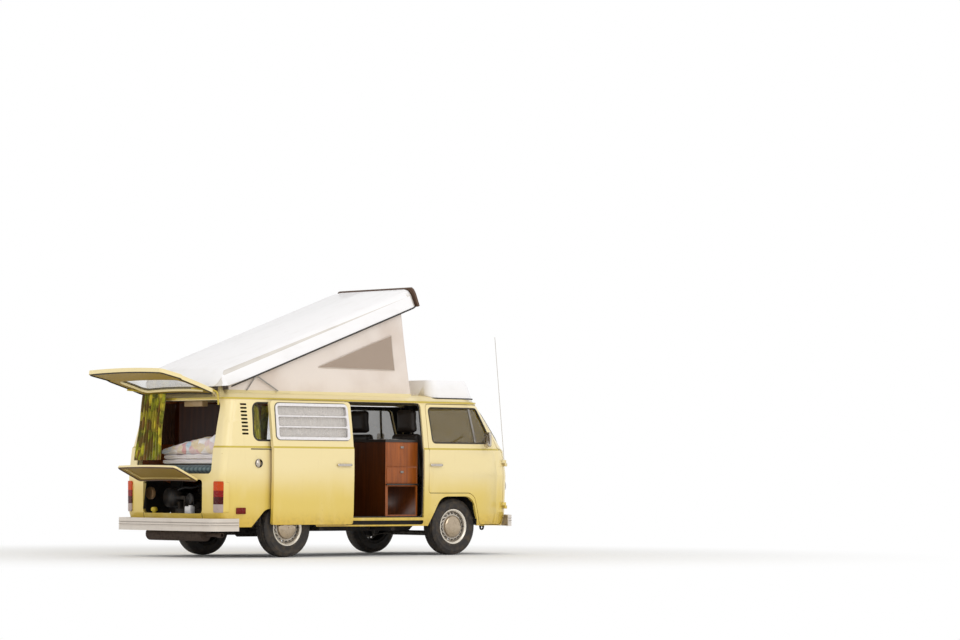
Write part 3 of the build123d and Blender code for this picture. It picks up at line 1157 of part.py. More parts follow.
# Engine with fan housing and gearbox, at the rear under the deck
with BuildPart() as engine:
    add(block((-2000.0, -150.0, 300.0), (-1500.0, 150.0, 520.0)))
    for side in (RIGHT, LEFT):
        low_y, high_y = sorted((side * 140.0, side * 356.0))
        add(block((-1900.0, low_y, 345.0), (-1560.0, high_y, 455.0)))
        for fin in range(9):
            fin_x = -1880.0 + fin * 38.0
            low_y, high_y = sorted((side * 170.0, side * 330.0))
            add(block((fin_x, low_y, 332.0), (fin_x + 14.0, high_y, 470.0)))
    # fan housing: a flat-bottomed drum, with the dynamo and belt pulleys in front of it
    with BuildSketch(Plane.YZ.offset(-1700.0)):
        with Locations((0, 610.0)):
            Circle(185.0)
        with Locations((0, 540.0)):
            Rectangle(560.0, 120.0)
    extrude(amount=110.0)
    for start_x, centre_z, radius, length in ((-1905.0, 620.0, 58.0, 210.0), (-1925.0, 620.0, 62.0, 22.0),
                                              (-2030.0, 400.0, 85.0, 30.0)):
        with BuildSketch(Plane.YZ.offset(start_x)):
            with Locations((0, centre_z)):
                Circle(radius)
        extrude(amount=length)
    add(block((-1860.0, -50.0, 515.0), (-1760.0, 50.0, 600.0)))
    # air cleaner drum on its intake pipe, and the oil filler
    with BuildSketch(Plane.YZ.offset(-1960.0)):
        with Locations((330.0, 640.0)):
            Circle(105.0)
    extrude(amount=170.0)
    add(block((-1890.0, 120.0, 620.0), (-1840.0, 260.0, 660.0)))
    add(block((-1890.0, 120.0, 500.0), (-1840.0, 150.0, 660.0)))
    with BuildSketch(Plane.XY.offset(510.0)):
        with Locations((-1960.0, 110.0)):
            Circle(30.0)
    extrude(amount=85.0)
    # mount bar to the frame rails
    add(block((-1545.0, SEAT - RAIL_INNER, 350.0), (-1505.0, RAIL_INNER - SEAT, 398.0)))
    # gearbox and its nose
    add(block((-1505.0, -125.0, 235.0), (-1260.0, 125.0, 425.0)))
    with BuildSketch(Plane.YZ.offset(-1262.0)):
        with Locations((0, 272.0)):
            Circle(60.0)
    extrude(amount=300.0)
finish(engine.part, "engine")

BATTERY = ((-1990.0, -700.0, 400.5), (-1780.0, -520.0, 590.0))
with BuildPart() as battery:
    add(block(*BATTERY))
    add(block((-2060.0, -800.0, 380.0), (-1600.0, -430.0, 400.2)))
    add(seated_cavity, mode=Mode.INTERSECT)
finish(battery.part, "battery")

ARM_PIVOT = CROSS_MEMBERS[0][0] - 30.0 - SEAT
with BuildPart() as rear_axle:
    for side in (RIGHT, LEFT):
        with BuildSketch(Plane.XZ.offset(-side * 125.0)):
            with Locations((-HALF_BASE, AXLE_HEIGHT)):
                Circle(14.0)
        extrude(amount=-side * (TRACK_REAR / 2 + 38.0 - 125.0))
        # trailing arm with hub carrier
        with BuildSketch(Plane.XY.offset(AXLE_HEIGHT - 30.0)):
            with BuildLine():
                Polyline((-HALF_BASE - 40, side * 640.0), (-HALF_BASE + 40, side * 640.0), (-810.0, side * 520.0),
                         (ARM_PIVOT, side * 520.0), (ARM_PIVOT, side * 470.0), (-830.0, side * 470.0),
                         (-HALF_BASE - 20, side * 596.0), close=True)
            make_face()
        extrude(amount=50.0)
        with BuildSketch(Plane.XZ.offset(-side * 630.0)):
            with Locations((-HALF_BASE, AXLE_HEIGHT)):
                Circle(62.0)
        extrude(amount=-side * 36.0)
        with BuildSketch(Plane.XZ.offset(-side * 660.0)):
            with Locations((-HALF_BASE, AXLE_HEIGHT)):
                Circle(SPINDLE_RADIUS)
        extrude(amount=-side * (TRACK_REAR / 2 + 38.0 - 660.0))
    # gearbox mounts pass round the shafts
    add(block((-HALF_BASE - 200.0, -124.7, 200.0), (-HALF_BASE + 230.0, 124.7, 430.0)), mode=Mode.SUBTRACT)
finish(rear_axle.part, "rear_axle")

SILENCER = (-2088.0, 245.0, 68.0, -520.0, 480.0)
with BuildPart() as exhaust:
    centre_x, centre_z, radius, low_y, high_y = SILENCER
    with BuildSketch(Plane.XZ.offset(-high_y)):
        with Locations((centre_x, centre_z)):
            Circle(radius)
    extrude(amount=high_y - low_y)
    with BuildSketch(Plane.XZ.offset(-low_y - 5)):
        with Locations((centre_x, centre_z)):
            Circle(20.0)
    extrude(amount=260.0)
    with BuildSketch(Plane.XZ.offset(-low_y + 215.0)):
        with Locations((centre_x, centre_z)):
            Circle(27.0)
            Circle(19.0, mode=Mode.SUBTRACT)
    extrude(amount=75.0)
    for side in (RIGHT, LEFT):
        with BuildLine() as pipe:
            FilletPolyline((centre_x, side * 290.0, centre_z), (-1800.0, side * 290.0, centre_z),
                           (-1800.0, side * 290.0, 331.7), radius=60.0)
        with BuildSketch(Plane(pipe.line @ 0, z_dir=pipe.line % 0)):
            Circle(19.0)
        sweep(path=pipe.line)
        low, high = sorted((side * 411.0, side * 423.0))
        add(block((-2064.0, low, 290.0), (-2050.0, high, 344.7)))
finish(exhaust.part, "exhaust")

# Wheels and tyres
# Columns: name, x, side, track
WHEELS = [
    ("front_right", HALF_BASE, RIGHT, TRACK_FRONT), ("front_left", HALF_BASE, LEFT, TRACK_FRONT),
    ("rear_right", -HALF_BASE, RIGHT, TRACK_REAR), ("rear_left", -HALF_BASE, LEFT, TRACK_REAR),
]


def wheel_frame(x, side, track):
    """Plane whose x is the radius and whose y points outboard along the axle."""
    return Plane((x, side * track / 2, AXLE_HEIGHT), x_dir=(1, 0, 0), z_dir=(0, 0, side))


def wheel(x, side, track):
    """Pressed steel rim with slotted disc, brake drum and domed hub cap."""
    frame = wheel_frame(x, side, track)
    axle = Axis(frame.origin, (0, side, 0))
    lip, bead, half, sheet = RIM_LIP_RADIUS, BEAD_RADIUS, RIM_HALF_WIDTH, RIM_SHEET
    bore = SPINDLE_RADIUS + SPINDLE_FIT
    with BuildPart() as rim:
        with BuildSketch(frame):
            with BuildLine():
                Polyline((lip, -half), (lip, 6 - half), (bead, 10 - half), (bead, half - 10), (lip, half - 6),
                         (lip, half), (lip - sheet, half), (bead - sheet, half - 14), (bead - sheet, 34),
                         (152, 50), (136, 58), (120, 55), (120, 74), (111, 81), (70, 93), (0, 98), (0, 48),
                         (bore, 48), (bore, -34), (DRUM_RADIUS, -34), (DRUM_RADIUS, 30), (110, 40), (120, 50),
                         (150, 40), (bead - sheet, 22), (bead - sheet, 14 - half), (lip - sheet, -half), close=True)
            make_face()
        revolve(axis=axle)
        with BuildSketch(Plane(frame.origin + Vector(0, side * 20, 0), z_dir=(0, side, 0))):
            with PolarLocations(151.0, WHEEL_SLOTS):
                SlotOverall(26.0, 10.0, rotation=90)
        extrude(amount=60.0, mode=Mode.SUBTRACT)
    return rim.part


def tyre(x, side, track):
    """Tyre with bulged walls and a crowned tread."""
    frame = wheel_frame(x, side, track)
    bead = BEAD_RADIUS + BEAD_GAP
    wide, top, half = TYRE_HALF_WIDTH, TYRE_RADIUS, RIM_HALF_WIDTH
    with BuildPart() as body:
        with BuildSketch(frame):
            with BuildLine():
                Polyline((194, 8 - half), (194, 12 - half), (bead, 14 - half), (bead, half - 14), (194, half - 12),
                         (194, half - 8))
                ThreePointArc((194, half - 8), (252, wide), (top - 14, wide - 13))
                ThreePointArc((top - 14, wide - 13), (top, 0), (top - 14, 13 - wide))
                ThreePointArc((top - 14, 13 - wide), (252, -wide), (194, 8 - half))
            make_face()
        revolve(axis=Axis(frame.origin, (0, side, 0)))
    return body.part


for name, x, side, track in WHEELS:
    finish(wheel(x, side, track), f"wheel_{name}")
    finish(tyre(x, side, track), f"tyre_{name}")

# Wipers: arms that follow the glass, blades on it, and spindles in the panel under it
WIPER_SPINDLE = 1214.0
# Columns: spindle y, blade's lower y and z, blade's upper y and z
WIPERS = [(-230.0, -300.0, 1262.0, -600.0, 1350.0), (330.0, 260.0, 1262.0, -40.0, 1350.0)]


def wiper_band(start, end, half_width):
    """Prism along the van through a slanting band seen from the front."""
    run_y, run_z = end[0] - start[0], end[1] - start[1]
    length = math.hypot(run_y, run_z)
    off_y, off_z = -run_z / length * half_width, run_y / length * half_width
    corners = [(start[0] + off_y, start[1] + off_z), (end[0] + off_y, end[1] + off_z),
               (end[0] - off_y, end[1] - off_z), (start[0] - off_y, start[1] - off_z)]
    return end_prism([(y, z, 0.0) for y, z in corners], 1)


with BuildPart() as wipers:
    with BuildPart(mode=Mode.PRIVATE) as arms:
        add(hull(BODY_SECTIONS, -13.0) - hull(BODY_SECTIONS, -6.0))
        with BuildPart(mode=Mode.PRIVATE) as bands:
            for spindle_y, low_y, low_z, high_y, high_z in WIPERS:
                middle = ((low_y + high_y) / 2, (low_z + high_z) / 2)
                add(wiper_band((spindle_y, WIPER_SPINDLE), middle, 6.0))
        add(bands.part, mode=Mode.INTERSECT)
    add(arms.part)
    with BuildPart(mode=Mode.PRIVATE) as blades:
        add(hull(BODY_SECTIONS, -9.0) - hull(BODY_SECTIONS, GLASS_INSET - SEAT, overrun=1.0))
        with BuildPart(mode=Mode.PRIVATE) as bands:
            for _, low_y, low_z, high_y, high_z in WIPERS:
                add(wiper_band((low_y, low_z), (high_y, high_z), 4.0))
        add(bands.part, mode=Mode.INTERSECT)
    add(blades.part)
    for spindle_y, _, _, _, _ in WIPERS:
        with BuildSketch(Plane.YZ.offset(nose_x(spindle_y, WIPER_SPINDLE) - 40.0)):
            with Locations((spindle_y, WIPER_SPINDLE)):
                Circle(9.0)
        extrude(amount=58.0)
    add(hull(BODY_SECTIONS, -SEAT) & block((0, -REACH, 0), (LENGTH_REACH, REACH, 1238.0)), mode=Mode.SUBTRACT)
finish(wipers.part, "wipers")

print("nodes", len(finished))
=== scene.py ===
"""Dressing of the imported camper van: its finishes, seals, soft goods, trim and studio.

Lengths are in metres, in the frame of the CAD model: X forward, Y to the left, Z up,
with the origin on the ground half way between the axles.
"""

from __future__ import annotations

import json
import logging
import math
from collections.abc import Callable, Iterable, Sequence
from dataclasses import dataclass, field
from enum import Enum
from typing import ClassVar

import bmesh
import bpy
from mathutils import Matrix, Vector, noise

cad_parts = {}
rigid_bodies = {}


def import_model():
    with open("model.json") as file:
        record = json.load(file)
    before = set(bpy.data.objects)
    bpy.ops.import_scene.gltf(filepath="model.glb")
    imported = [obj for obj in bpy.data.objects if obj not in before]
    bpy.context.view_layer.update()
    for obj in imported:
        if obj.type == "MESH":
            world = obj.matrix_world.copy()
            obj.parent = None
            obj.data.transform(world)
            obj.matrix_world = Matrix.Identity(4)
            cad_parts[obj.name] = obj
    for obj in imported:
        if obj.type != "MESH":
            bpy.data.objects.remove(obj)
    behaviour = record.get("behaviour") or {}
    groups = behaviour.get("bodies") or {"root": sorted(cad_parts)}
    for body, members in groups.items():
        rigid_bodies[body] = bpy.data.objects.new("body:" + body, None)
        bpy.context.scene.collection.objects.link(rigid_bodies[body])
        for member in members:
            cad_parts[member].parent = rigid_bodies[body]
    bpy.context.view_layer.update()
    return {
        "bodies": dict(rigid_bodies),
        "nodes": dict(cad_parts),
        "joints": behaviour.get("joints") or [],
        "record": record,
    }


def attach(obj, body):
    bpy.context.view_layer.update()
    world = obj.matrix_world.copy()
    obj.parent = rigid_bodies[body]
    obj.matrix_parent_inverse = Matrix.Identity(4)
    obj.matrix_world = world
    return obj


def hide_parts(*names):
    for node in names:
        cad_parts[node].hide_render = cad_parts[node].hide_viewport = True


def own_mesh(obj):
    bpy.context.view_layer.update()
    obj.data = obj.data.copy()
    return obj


LOG = logging.getLogger("camper")
Colour = tuple[float, float, float]
Point = tuple[float, float, float]
Outline = tuple[tuple[float, float, float], ...]
Profile = tuple[tuple[float, float], ...]
Limits = tuple[float, float]
FaceTest = Callable[[Vector, Vector], bool]
Laying = Callable[[float, float], Vector]


def above(limit: float) -> Limits:
    """Limits that hold all over a value."""
    return limit, math.inf


def below(limit: float) -> Limits:
    """Limits that hold all under a value."""
    return -math.inf, limit


ANY = (-math.inf, math.inf)
SIDES = (("right", -1.0), ("left", 1.0))
BELT_LEDGE = (1.176, 1.203)  # heights of the ledge along the belt line
LEDGE_DEPTH = below(0.02)  # how far inside the skin that ledge may lie
UPWARD = above(0.3)  # the part along Z of the direction of a face that looks up
LINING_DEPTH = above(0.034)  # how far inside the skin the lining of sides and doors lies
INNER_DEPTH = above(0.006)  # how far inside the skin the lids' inner faces lie
INWARD = above(0.5)  # the part along X of the direction of a closed lid's inner faces
SKIN_DEPTH = 0.004  # faces nearer to the body's form than this are its outer skin
FLUSH = 0.8  # a skin's face agrees with the form's direction to this cosine at least
CREASE = 0.25  # a bend of the skin's slope over this stays a crease
MERGED = 1e-5  # points nearer than this are one
GLAZING_DEPTH = -0.004  # window rubbers' middle lines, seen outwards from the skin
PANEL_ANGLE = 14.0  # degrees over which a lid's edges stay crisp
CLOTH_ANGLE = 180.0  # degrees: cloth has no crisp edges
TUBE_ANGLE = 60.0  # degrees over which a tube's ends stay crisp
PAD_STIFFNESS = 12.0  # of a pad's cover in its cloth simulation
SWELLING_FRAMES = 14  # frames that the simulation runs
CLOTH_STEPS = 600  # steps along a pleated edge when its length is measured
MILLIMETRES = 1000.0  # in a metre, for the outlines


class End(Enum):
    """One of the van's two ends, with the way that it faces along X."""

    FRONT = 1.0
    REAR = -1.0


def linear(value: float) -> float:
    """Linear light of a screen value from 0 to 1."""
    return value / 12.92 if value <= 0.04045 else ((value + 0.055) / 1.055) ** 2.4


def tint(red: int, green: int, blue: int) -> Colour:
    """Linear colour of the usual screen values of 0 to 255."""
    return tuple(linear(value / 255) for value in (red, green, blue))


# Shader maths


class Shade:
    """A shader value on which Python's operators build Math nodes."""

    def __init__(self, recipe: Recipe, socket: bpy.types.NodeSocket) -> None:
        """Wrap an output socket of a recipe's tree."""
        self.recipe = recipe
        self.socket = socket

    def math(self, operation: str, *others: Value, swapped: bool = False) -> Shade:
        """One Math node on this value.

        Args:
            operation: the Math node's operation.
            others: its further inputs.
            swapped: whether this value is the second input.

        Returns:
            The node's result.
        """
        values = [self, *others]
        if swapped:
            values[0], values[1] = values[1], values[0]
        return self.recipe.node("ShaderNodeMath", {"operation": operation}, dict(enumerate(values)))

    def __add__(self, other: Value) -> Shade:
        """Sum."""
        return self.math("ADD", other)

    def __sub__(self, other: Value) -> Shade:
        """Difference."""
        return self.math("SUBTRACT", other)

    def __rsub__(self, other: Value) -> Shade:
        """Difference from a number."""
        return self.math("SUBTRACT", other, swapped=True)

    def __mul__(self, other: Value) -> Shade:
        """Product."""
        return self.math("MULTIPLY", other)

    def __truediv__(self, other: Value) -> Shade:
        """Quotient."""
        return self.math("DIVIDE", other)

    __radd__ = __add__
    __rmul__ = __mul__

    def above(self, limit: Value) -> Shade:
        """1 where the value is over the limit, else 0."""
        return self.math("GREATER_THAN", limit)

    def below(self, limit: Value) -> Shade:
        """1 where the value is under the limit, else 0."""
        return self.math("LESS_THAN", limit)

    def between(self, low: float, high: float) -> Shade:
        """Rise smoothly between two limits.

        Args:
            low: the limit below which the result is 0.
            high: the limit above which it is 1.

        Returns:
            The rising value.
        """
        return self.recipe.node(
            "ShaderNodeMapRange",
            {"interpolation_type": "SMOOTHSTEP"},
            {"Value": self, "From Min": low, "From Max": high},
        )


Value = Shade | float | tuple


class Recipe:
    """One material's node tree, with its principled shader wired to the output."""

    def __init__(self, name: str) -> None:
        """Start an empty tree.

        Args:
            name: the finish's name.
        """
        self.material = bpy.data.materials.new(name)
        self.material.use_nodes = True
        self.tree = self.material.node_tree
        self.tree.nodes.clear()
        output = self.tree.nodes.new("ShaderNodeOutputMaterial")
        self.shader = self.tree.nodes.new("ShaderNodeBsdfPrincipled")
        self.tree.links.new(self.shader.outputs[0], output.inputs["Surface"])
        self.place = self.node("ShaderNodeTexCoord", output="Object")
        self.x, self.y, self.z = (
            self.node("ShaderNodeSeparateXYZ", inputs={0: self.place}, output=axis) for axis in "XYZ"
        )

    @staticmethod
    def _socket(sockets: Iterable[bpy.types.NodeSocket], key: str | int) -> bpy.types.NodeSocket:
        """Find a socket.

        Args:
            sockets: a node's inputs or outputs.
            key: the socket's index, identifier or name.

        Returns:
            The socket.
        """
        if isinstance(key, int):
            return sockets[key]
        for socket in sockets:
            if socket.identifier == key:
                return socket
        return sockets[key]

    def give(self, socket: bpy.types.NodeSocket, value: Value) -> None:
        """Link a shade to an input socket, or set a number or colour on it.

        Args:
            socket: the input socket.
            value: the shade, number, colour or vector.
        """
        if isinstance(value, Shade):
            self.tree.links.new(value.socket, socket)
        elif isinstance(value, tuple) and len(socket.default_value) == 4:
            socket.default_value = (*value[:3], 1.0)
        else:
            socket.default_value = value

    def node(
        self,
        kind: str,
        settings: dict[str, object] | None = None,
        inputs: dict[str | int, Value] | None = None,
        output: str | int = 0,
    ) -> Shade:
        """Add a node.

        Args:
            kind: the node's type.
            settings: its properties, set first. "stops" fills a colour ramp.
            inputs: values or shades by socket.
            output: the socket that is returned.

        Returns:
            The node's output as a shade.
        """
        node = self.tree.nodes.new(kind)
        for name, value in (settings or {}).items():
            if name == "stops":
                self._stops(node.color_ramp, value)
            else:
                setattr(node, name, value)
        for key, value in (inputs or {}).items():
            self.give(self._socket(node.inputs, key), value)
        return Shade(self, self._socket(node.outputs, output))

    @staticmethod
    def _stops(ramp: bpy.types.ColorRamp, stops: Sequence[tuple[float, Colour]]) -> None:
        """Fill a colour ramp.

        Args:
            ramp: the ramp.
            stops: its positions with their colours.
        """
        while len(ramp.elements) < len(stops):
            ramp.elements.new(1.0)
        for element, (position, colour) in zip(ramp.elements, stops):
            element.position = position
            element.color = (*colour, 1.0)

    def stretched(self, scale: Point) -> Shade:
        """Object coordinates scaled by an amount for each axis."""
        return self.node("ShaderNodeMapping", inputs={"Vector": self.place, "Scale": scale})

    def noise(
        self, scale: float, detail: float = 3.0, at: Shade | None = None, rough: float = 0.5
    ) -> Shade:
        """Soft noise from 0 to 1 at a scale per metre."""
        inputs = {"Vector": at or self.place, "Scale": scale, "Detail": detail, "Roughness": rough}
        return self.node("ShaderNodeTexNoise", inputs=inputs)

    def cells(self, scale: float, output: str = "Distance", at: Shade | None = None) -> Shade:
        """Cell pattern at a scale per metre."""
        inputs = {"Vector": at or self.place, "Scale": scale}
        return self.node("ShaderNodeTexVoronoi", inputs=inputs, output=output)

    def weave(self, threads: float) -> Shade:
        """Crossing threads.

        Args:
            threads: how many there are in a metre along each axis.

        Returns:
            Their height from 0 to 1.
        """
        turns = threads * 2 * math.pi
        waves = [(axis * turns).math("SINE") for axis in (self.x, self.y, self.z)]
        return (waves[0] + waves[1]).math("MULTIPLY", waves[2]) * 0.25 + 0.5

    def mix(self, share: Value, first: Value, second: Value) -> Shade:
        """Colour between two, by a share."""
        inputs = {"Factor_Float": share, "A_Color": first, "B_Color": second}
        return self.node("ShaderNodeMix", {"data_type": "RGBA"}, inputs, "Result_Color")

    def ramp(self, tones: Sequence[Colour], place: Shade) -> Shade:
        """Colour from evenly spaced tones, by a place from 0 to 1."""
        stops = [(step / len(tones), tone) for step, tone in enumerate(tones)]
        return self.node("ShaderNodeValToRGB", {"stops": stops}, {"Fac": place}, "Color")

    def cell_number(self, scale: float, at: Shade | None = None) -> Shade:
        """A number from 0 to 1 for each cell of a cell pattern."""
        cells = self.cells(scale, "Color", at)
        return self.node("ShaderNodeSeparateXYZ", inputs={0: cells}, output="X")

    def bump(self, height: Shade, strength: float, depth: float) -> Shade:
        """Normal from a height pattern."""
        inputs = {"Height": height, "Strength": strength, "Distance": depth}
        return self.node("ShaderNodeBump", inputs=inputs)

    def fade_to_white(self, share: Shade) -> None:
        """Mix the shader with plain white light, for the floor's far parts.

        Args:
            share: how much of it is white, from 0 to 1.
        """
        surface = self.tree.nodes["Material Output"].inputs["Surface"]
        white = self.node("ShaderNodeEmission", inputs={"Color": (1.0, 1.0, 1.0), "Strength": 1.0})
        inputs = {0: share, 1: Shade(self, self.shader.outputs[0]), 2: white}
        self.tree.links.new(self.node("ShaderNodeMixShader", inputs=inputs).socket, surface)

    def finish(self, **sockets: Value) -> bpy.types.Material:
        """Give the shader's sockets their values.

        Args:
            sockets: the values, by the sockets' names with underscores for spaces.

        Returns:
            The finished material.
        """
        for name, value in sockets.items():
            self.give(self.shader.inputs[name.replace("_", " ")], value)
        return self.material


# Finishes


@dataclass(frozen=True)
class Finish:
    """A finish that builds its material once."""

    built: ClassVar[dict[str, bpy.types.Material]] = {}
    label: str

    def material(self) -> bpy.types.Material:
        """Give the material, built at its first use.

        Returns:
            The material.
        """
        if self.label not in Finish.built:
            Finish.built[self.label] = self.build(Recipe(self.label))
        return Finish.built[self.label]

    def build(self, recipe: Recipe) -> bpy.types.Material:
        """Build the material.

        Args:
            recipe: the empty recipe.

        Returns:
            The material.
        """
        raise NotImplementedError


@dataclass(frozen=True)
class BodyPaint(Finish):
    """Aged gloss paint, deeper in colour low down, with dust, faint stains and stone chips."""

    upper: Colour
    lower: Colour
    foot: Colour
    change: tuple[float, float] = (0.60, 1.02)
    rust: Colour = tint(150, 92, 30)
    gloss: float = 0.45
    roughness: float = 0.24

    def build(self, recipe: Recipe) -> bpy.types.Material:
        """Build the paint.

        Args:
            recipe: the empty recipe.

        Returns:
            The material.
        """
        cloud = recipe.noise(1.3, 4.0)
        level = recipe.z + (cloud - 0.5) * 0.22
        colour = recipe.mix(level.between(*self.change), self.lower, self.upper)
        colour = recipe.mix(level.between(0.30, 0.56), self.foot, colour)
        fade = recipe.noise(5.0, 5.0, recipe.stretched((1.0, 1.0, 0.35)))
        colour = recipe.mix(fade.between(0.48, 0.80) * 0.35, colour, self.upper)
        streaks = recipe.noise(16.0, 3.0, recipe.stretched((1.0, 1.0, 0.10))).between(0.60, 0.82)
        colour = recipe.mix(streaks * recipe.z.between(0.4, 1.2) * 0.10, colour, self.rust)
        dust = recipe.noise(22.0, 6.0).between(0.42, 0.75) * (1.0 - recipe.z.between(0.30, 0.52))
        colour = recipe.mix(dust * 0.35, colour, tint(120, 95, 60))
        chips = recipe.cells(17.0).below(0.055) * recipe.noise(4.0, 2.0).above(0.60)
        colour = recipe.mix(chips * 0.8, colour, self.rust)
        peel = recipe.bump(recipe.noise(220.0, 2.0), 0.04, 0.001)
        return recipe.finish(
            Base_Color=colour,
            Roughness=fade * 0.18 + self.roughness + dust * 0.3,
            Coat_Weight=self.gloss,
            Coat_Roughness=0.12,
            Normal=peel,
        )


@dataclass(frozen=True)
class Moulding(Finish):
    """Laminated glass-fibre moulding or gloss plastic, a little chalky and streaked."""

    colour: Colour
    soil: Colour
    roughness: float = 0.34
    amount: float = 0.4
    waviness: float = 0.05

    def build(self, recipe: Recipe) -> bpy.types.Material:
        """Build the moulding.

        Args:
            recipe: the empty recipe.

        Returns:
            The material.
        """
        streaks = recipe.noise(9.0, 4.0, recipe.stretched((0.35, 1.0, 1.0)))
        specks = recipe.noise(60.0, 4.0)
        colour = recipe.mix(streaks.between(0.45, 0.85) * self.amount, self.colour, self.soil)
        colour = recipe.mix(specks.between(0.62, 0.8) * self.amount * 0.5, colour, self.soil)
        waves = recipe.bump(recipe.noise(14.0, 3.0), self.waviness, 0.004)
        return recipe.finish(
            Base_Color=colour, Roughness=specks * 0.15 + self.roughness, Coat_Weight=0.2, Normal=waves
        )


@dataclass(frozen=True)
class Metal(Finish):
    """Bare, plated or painted metal with grime and rust."""

    colour: Colour
    soil: Colour
    metallic: float = 1.0
    roughness: float = 0.2
    amount: float = 0.3
    grain: float = 0.0

    def build(self, recipe: Recipe) -> bpy.types.Material:
        """Build the metal.

        Args:
            recipe: the empty recipe.

        Returns:
            The material.
        """
        grime = recipe.noise(26.0, 6.0, rough=0.62).between(0.46, 0.74)
        fine = recipe.noise(190.0, 3.0)
        colour = recipe.mix(grime * self.amount, self.colour, self.soil)
        height = fine if not self.grain else recipe.noise(self.grain, 2.0)
        return recipe.finish(
            Base_Color=colour,
            Metallic=(1.0 - grime * self.amount) * self.metallic,
            Roughness=grime * self.amount * 0.5 + fine * 0.08 + self.roughness,
            Normal=recipe.bump(height, 0.08 if not self.grain else 0.3, 0.001),
        )


@dataclass(frozen=True)
class Rubber(Finish):
    """Matt rubber or sooty plastic with pale dust in its grain."""

    colour: Colour = tint(34, 30, 28)
    dust: Colour = tint(96, 84, 68)
    amount: float = 0.35

    def build(self, recipe: Recipe) -> bpy.types.Material:
        """Build the rubber.

        Args:
            recipe: the empty recipe.

        Returns:
            The material.
        """
        film = recipe.noise(18.0, 5.0).between(0.40, 0.76)
        grain = recipe.noise(320.0, 2.0)
        colour = recipe.mix(film * self.amount, self.colour, self.dust)
        return recipe.finish(
            Base_Color=colour, Roughness=film * 0.2 + 0.62, Normal=recipe.bump(grain, 0.25, 0.0008)
        )


@dataclass(frozen=True)
class Cloth(Finish):
    """Plain woven cloth with uneven colour."""

    colour: Colour
    shade: Colour
    threads: float = 650.0
    roughness: float = 0.9
    amount: float = 0.5
    scale: float = 3.0
    sheen: float = 0.25

    def pattern(self, recipe: Recipe) -> Value:
        """Colour before the weave is added."""
        uneven = recipe.noise(self.scale, 5.0).between(0.35, 0.75)
        return recipe.mix(uneven * self.amount, self.colour, self.shade)

    def build(self, recipe: Recipe) -> bpy.types.Material:
        """Build the cloth.

        Args:
            recipe: the empty recipe.

        Returns:
            The material.
        """
        weave = recipe.weave(self.threads)
        colour = recipe.mix(weave.between(0.3, 0.7) * 0.18, self.pattern(recipe), self.shade)
        height = weave * 0.5 + recipe.noise(40.0, 4.0) * 0.8
        return recipe.finish(
            Base_Color=colour,
            Roughness=self.roughness,
            Sheen_Weight=self.sheen,
            Normal=recipe.bump(height, 0.35, 0.0012),
        )


@dataclass(frozen=True)
class LeafPrint(Cloth):
    """Printed furnishing cloth with blurred leaf shapes in a few greens and yellows."""

    tones: tuple[Colour, ...] = (
        tint(88, 90, 12), tint(164, 164, 24), tint(228, 208, 56), tint(124, 88, 26),
    )
    leaves: float = 15.0

    def pattern(self, recipe: Recipe) -> Value:
        """Give the leaves' colours.

        Args:
            recipe: the recipe.

        Returns:
            The colour of tall leaves with blurred edges and darker gaps.
        """
        at = recipe.stretched((1.0, 1.0, 0.55))
        blur = (recipe.noise(60.0, 3.0) - 0.5) * 0.3
        tones = recipe.ramp(self.tones, recipe.cell_number(self.leaves, at) + blur)
        veins = recipe.cells(self.leaves, "Distance", at).between(0.34, 0.50)
        return recipe.mix(veins * 0.55, tones, self.shade)


@dataclass(frozen=True)
class Check(Cloth):
    """Woven check in two colours on a ground."""

    cross: Colour = tint(36, 70, 88)
    pitch: float = 0.075

    def pattern(self, recipe: Recipe) -> Value:
        """Give the stripes' colours.

        Args:
            recipe: the recipe.

        Returns:
            The colour of stripes both ways on the ground.
        """
        turns = 2 * math.pi / self.pitch
        across = ((recipe.x + recipe.y) * turns).math("SINE").above(0.1)
        along = (recipe.z * turns * 1.4).math("SINE").above(0.2)
        ground = recipe.mix(across * 0.75, self.colour, self.cross)
        return recipe.mix(along * 0.55, ground, self.shade)


@dataclass(frozen=True)
class Patchwork(Cloth):
    """Pale quilted cloth with a scatter of soft pastel patches."""

    tones: tuple[Colour, ...] = (
        tint(238, 234, 236), tint(238, 234, 236), tint(150, 190, 215), tint(238, 232, 232),
        tint(214, 150, 150), tint(236, 230, 226), tint(226, 196, 120), tint(240, 236, 238),
    )
    patches: float = 11.0

    def pattern(self, recipe: Recipe) -> Value:
        """Patches of one colour each."""
        tones = recipe.ramp(self.tones, recipe.cell_number(self.patches))
        return recipe.mix(recipe.noise(30.0, 4.0).between(0.3, 0.8) * 0.3, tones, self.colour)


@dataclass(frozen=True)
class Netting(Cloth):
    """Insect netting whose holes take a darker tone as painted shade of the tent's inside."""

    def build(self, recipe: Recipe) -> bpy.types.Material:
        """Build the netting.

        Args:
            recipe: the empty recipe.

        Returns:
            The material.
        """
        grid = recipe.weave(260.0)
        # Painted shade: the holes between the threads take the darker tone.
        colour = recipe.mix(grid.between(0.35, 0.65), self.shade, self.colour)
        return recipe.finish(Base_Color=colour, Roughness=0.85, Normal=recipe.bump(grid, 0.4, 0.001))


@dataclass(frozen=True)
class Laminate(Finish):
    """Wood-grain laminate on board."""

    colour: Colour
    grain: Colour
    roughness: float = 0.38
    along: Point = (14.0, 14.0, 0.9)

    def build(self, recipe: Recipe) -> bpy.types.Material:
        """Build the laminate.

        Args:
            recipe: the empty recipe.

        Returns:
            The material.
        """
        at = recipe.stretched(self.along)
        bands = recipe.noise(2.2, 6.0, at, 0.6)
        pores = recipe.noise(14.0, 4.0, at, 0.7).between(0.52, 0.72)
        colour = recipe.mix(bands.between(0.30, 0.70) * 0.75, self.colour, self.grain)
        colour = recipe.mix(pores * 0.3, colour, self.grain)
        return recipe.finish(
            Base_Color=colour,
            Roughness=pores * 0.15 + self.roughness,
            Normal=recipe.bump(pores, 0.1, 0.0006),
        )


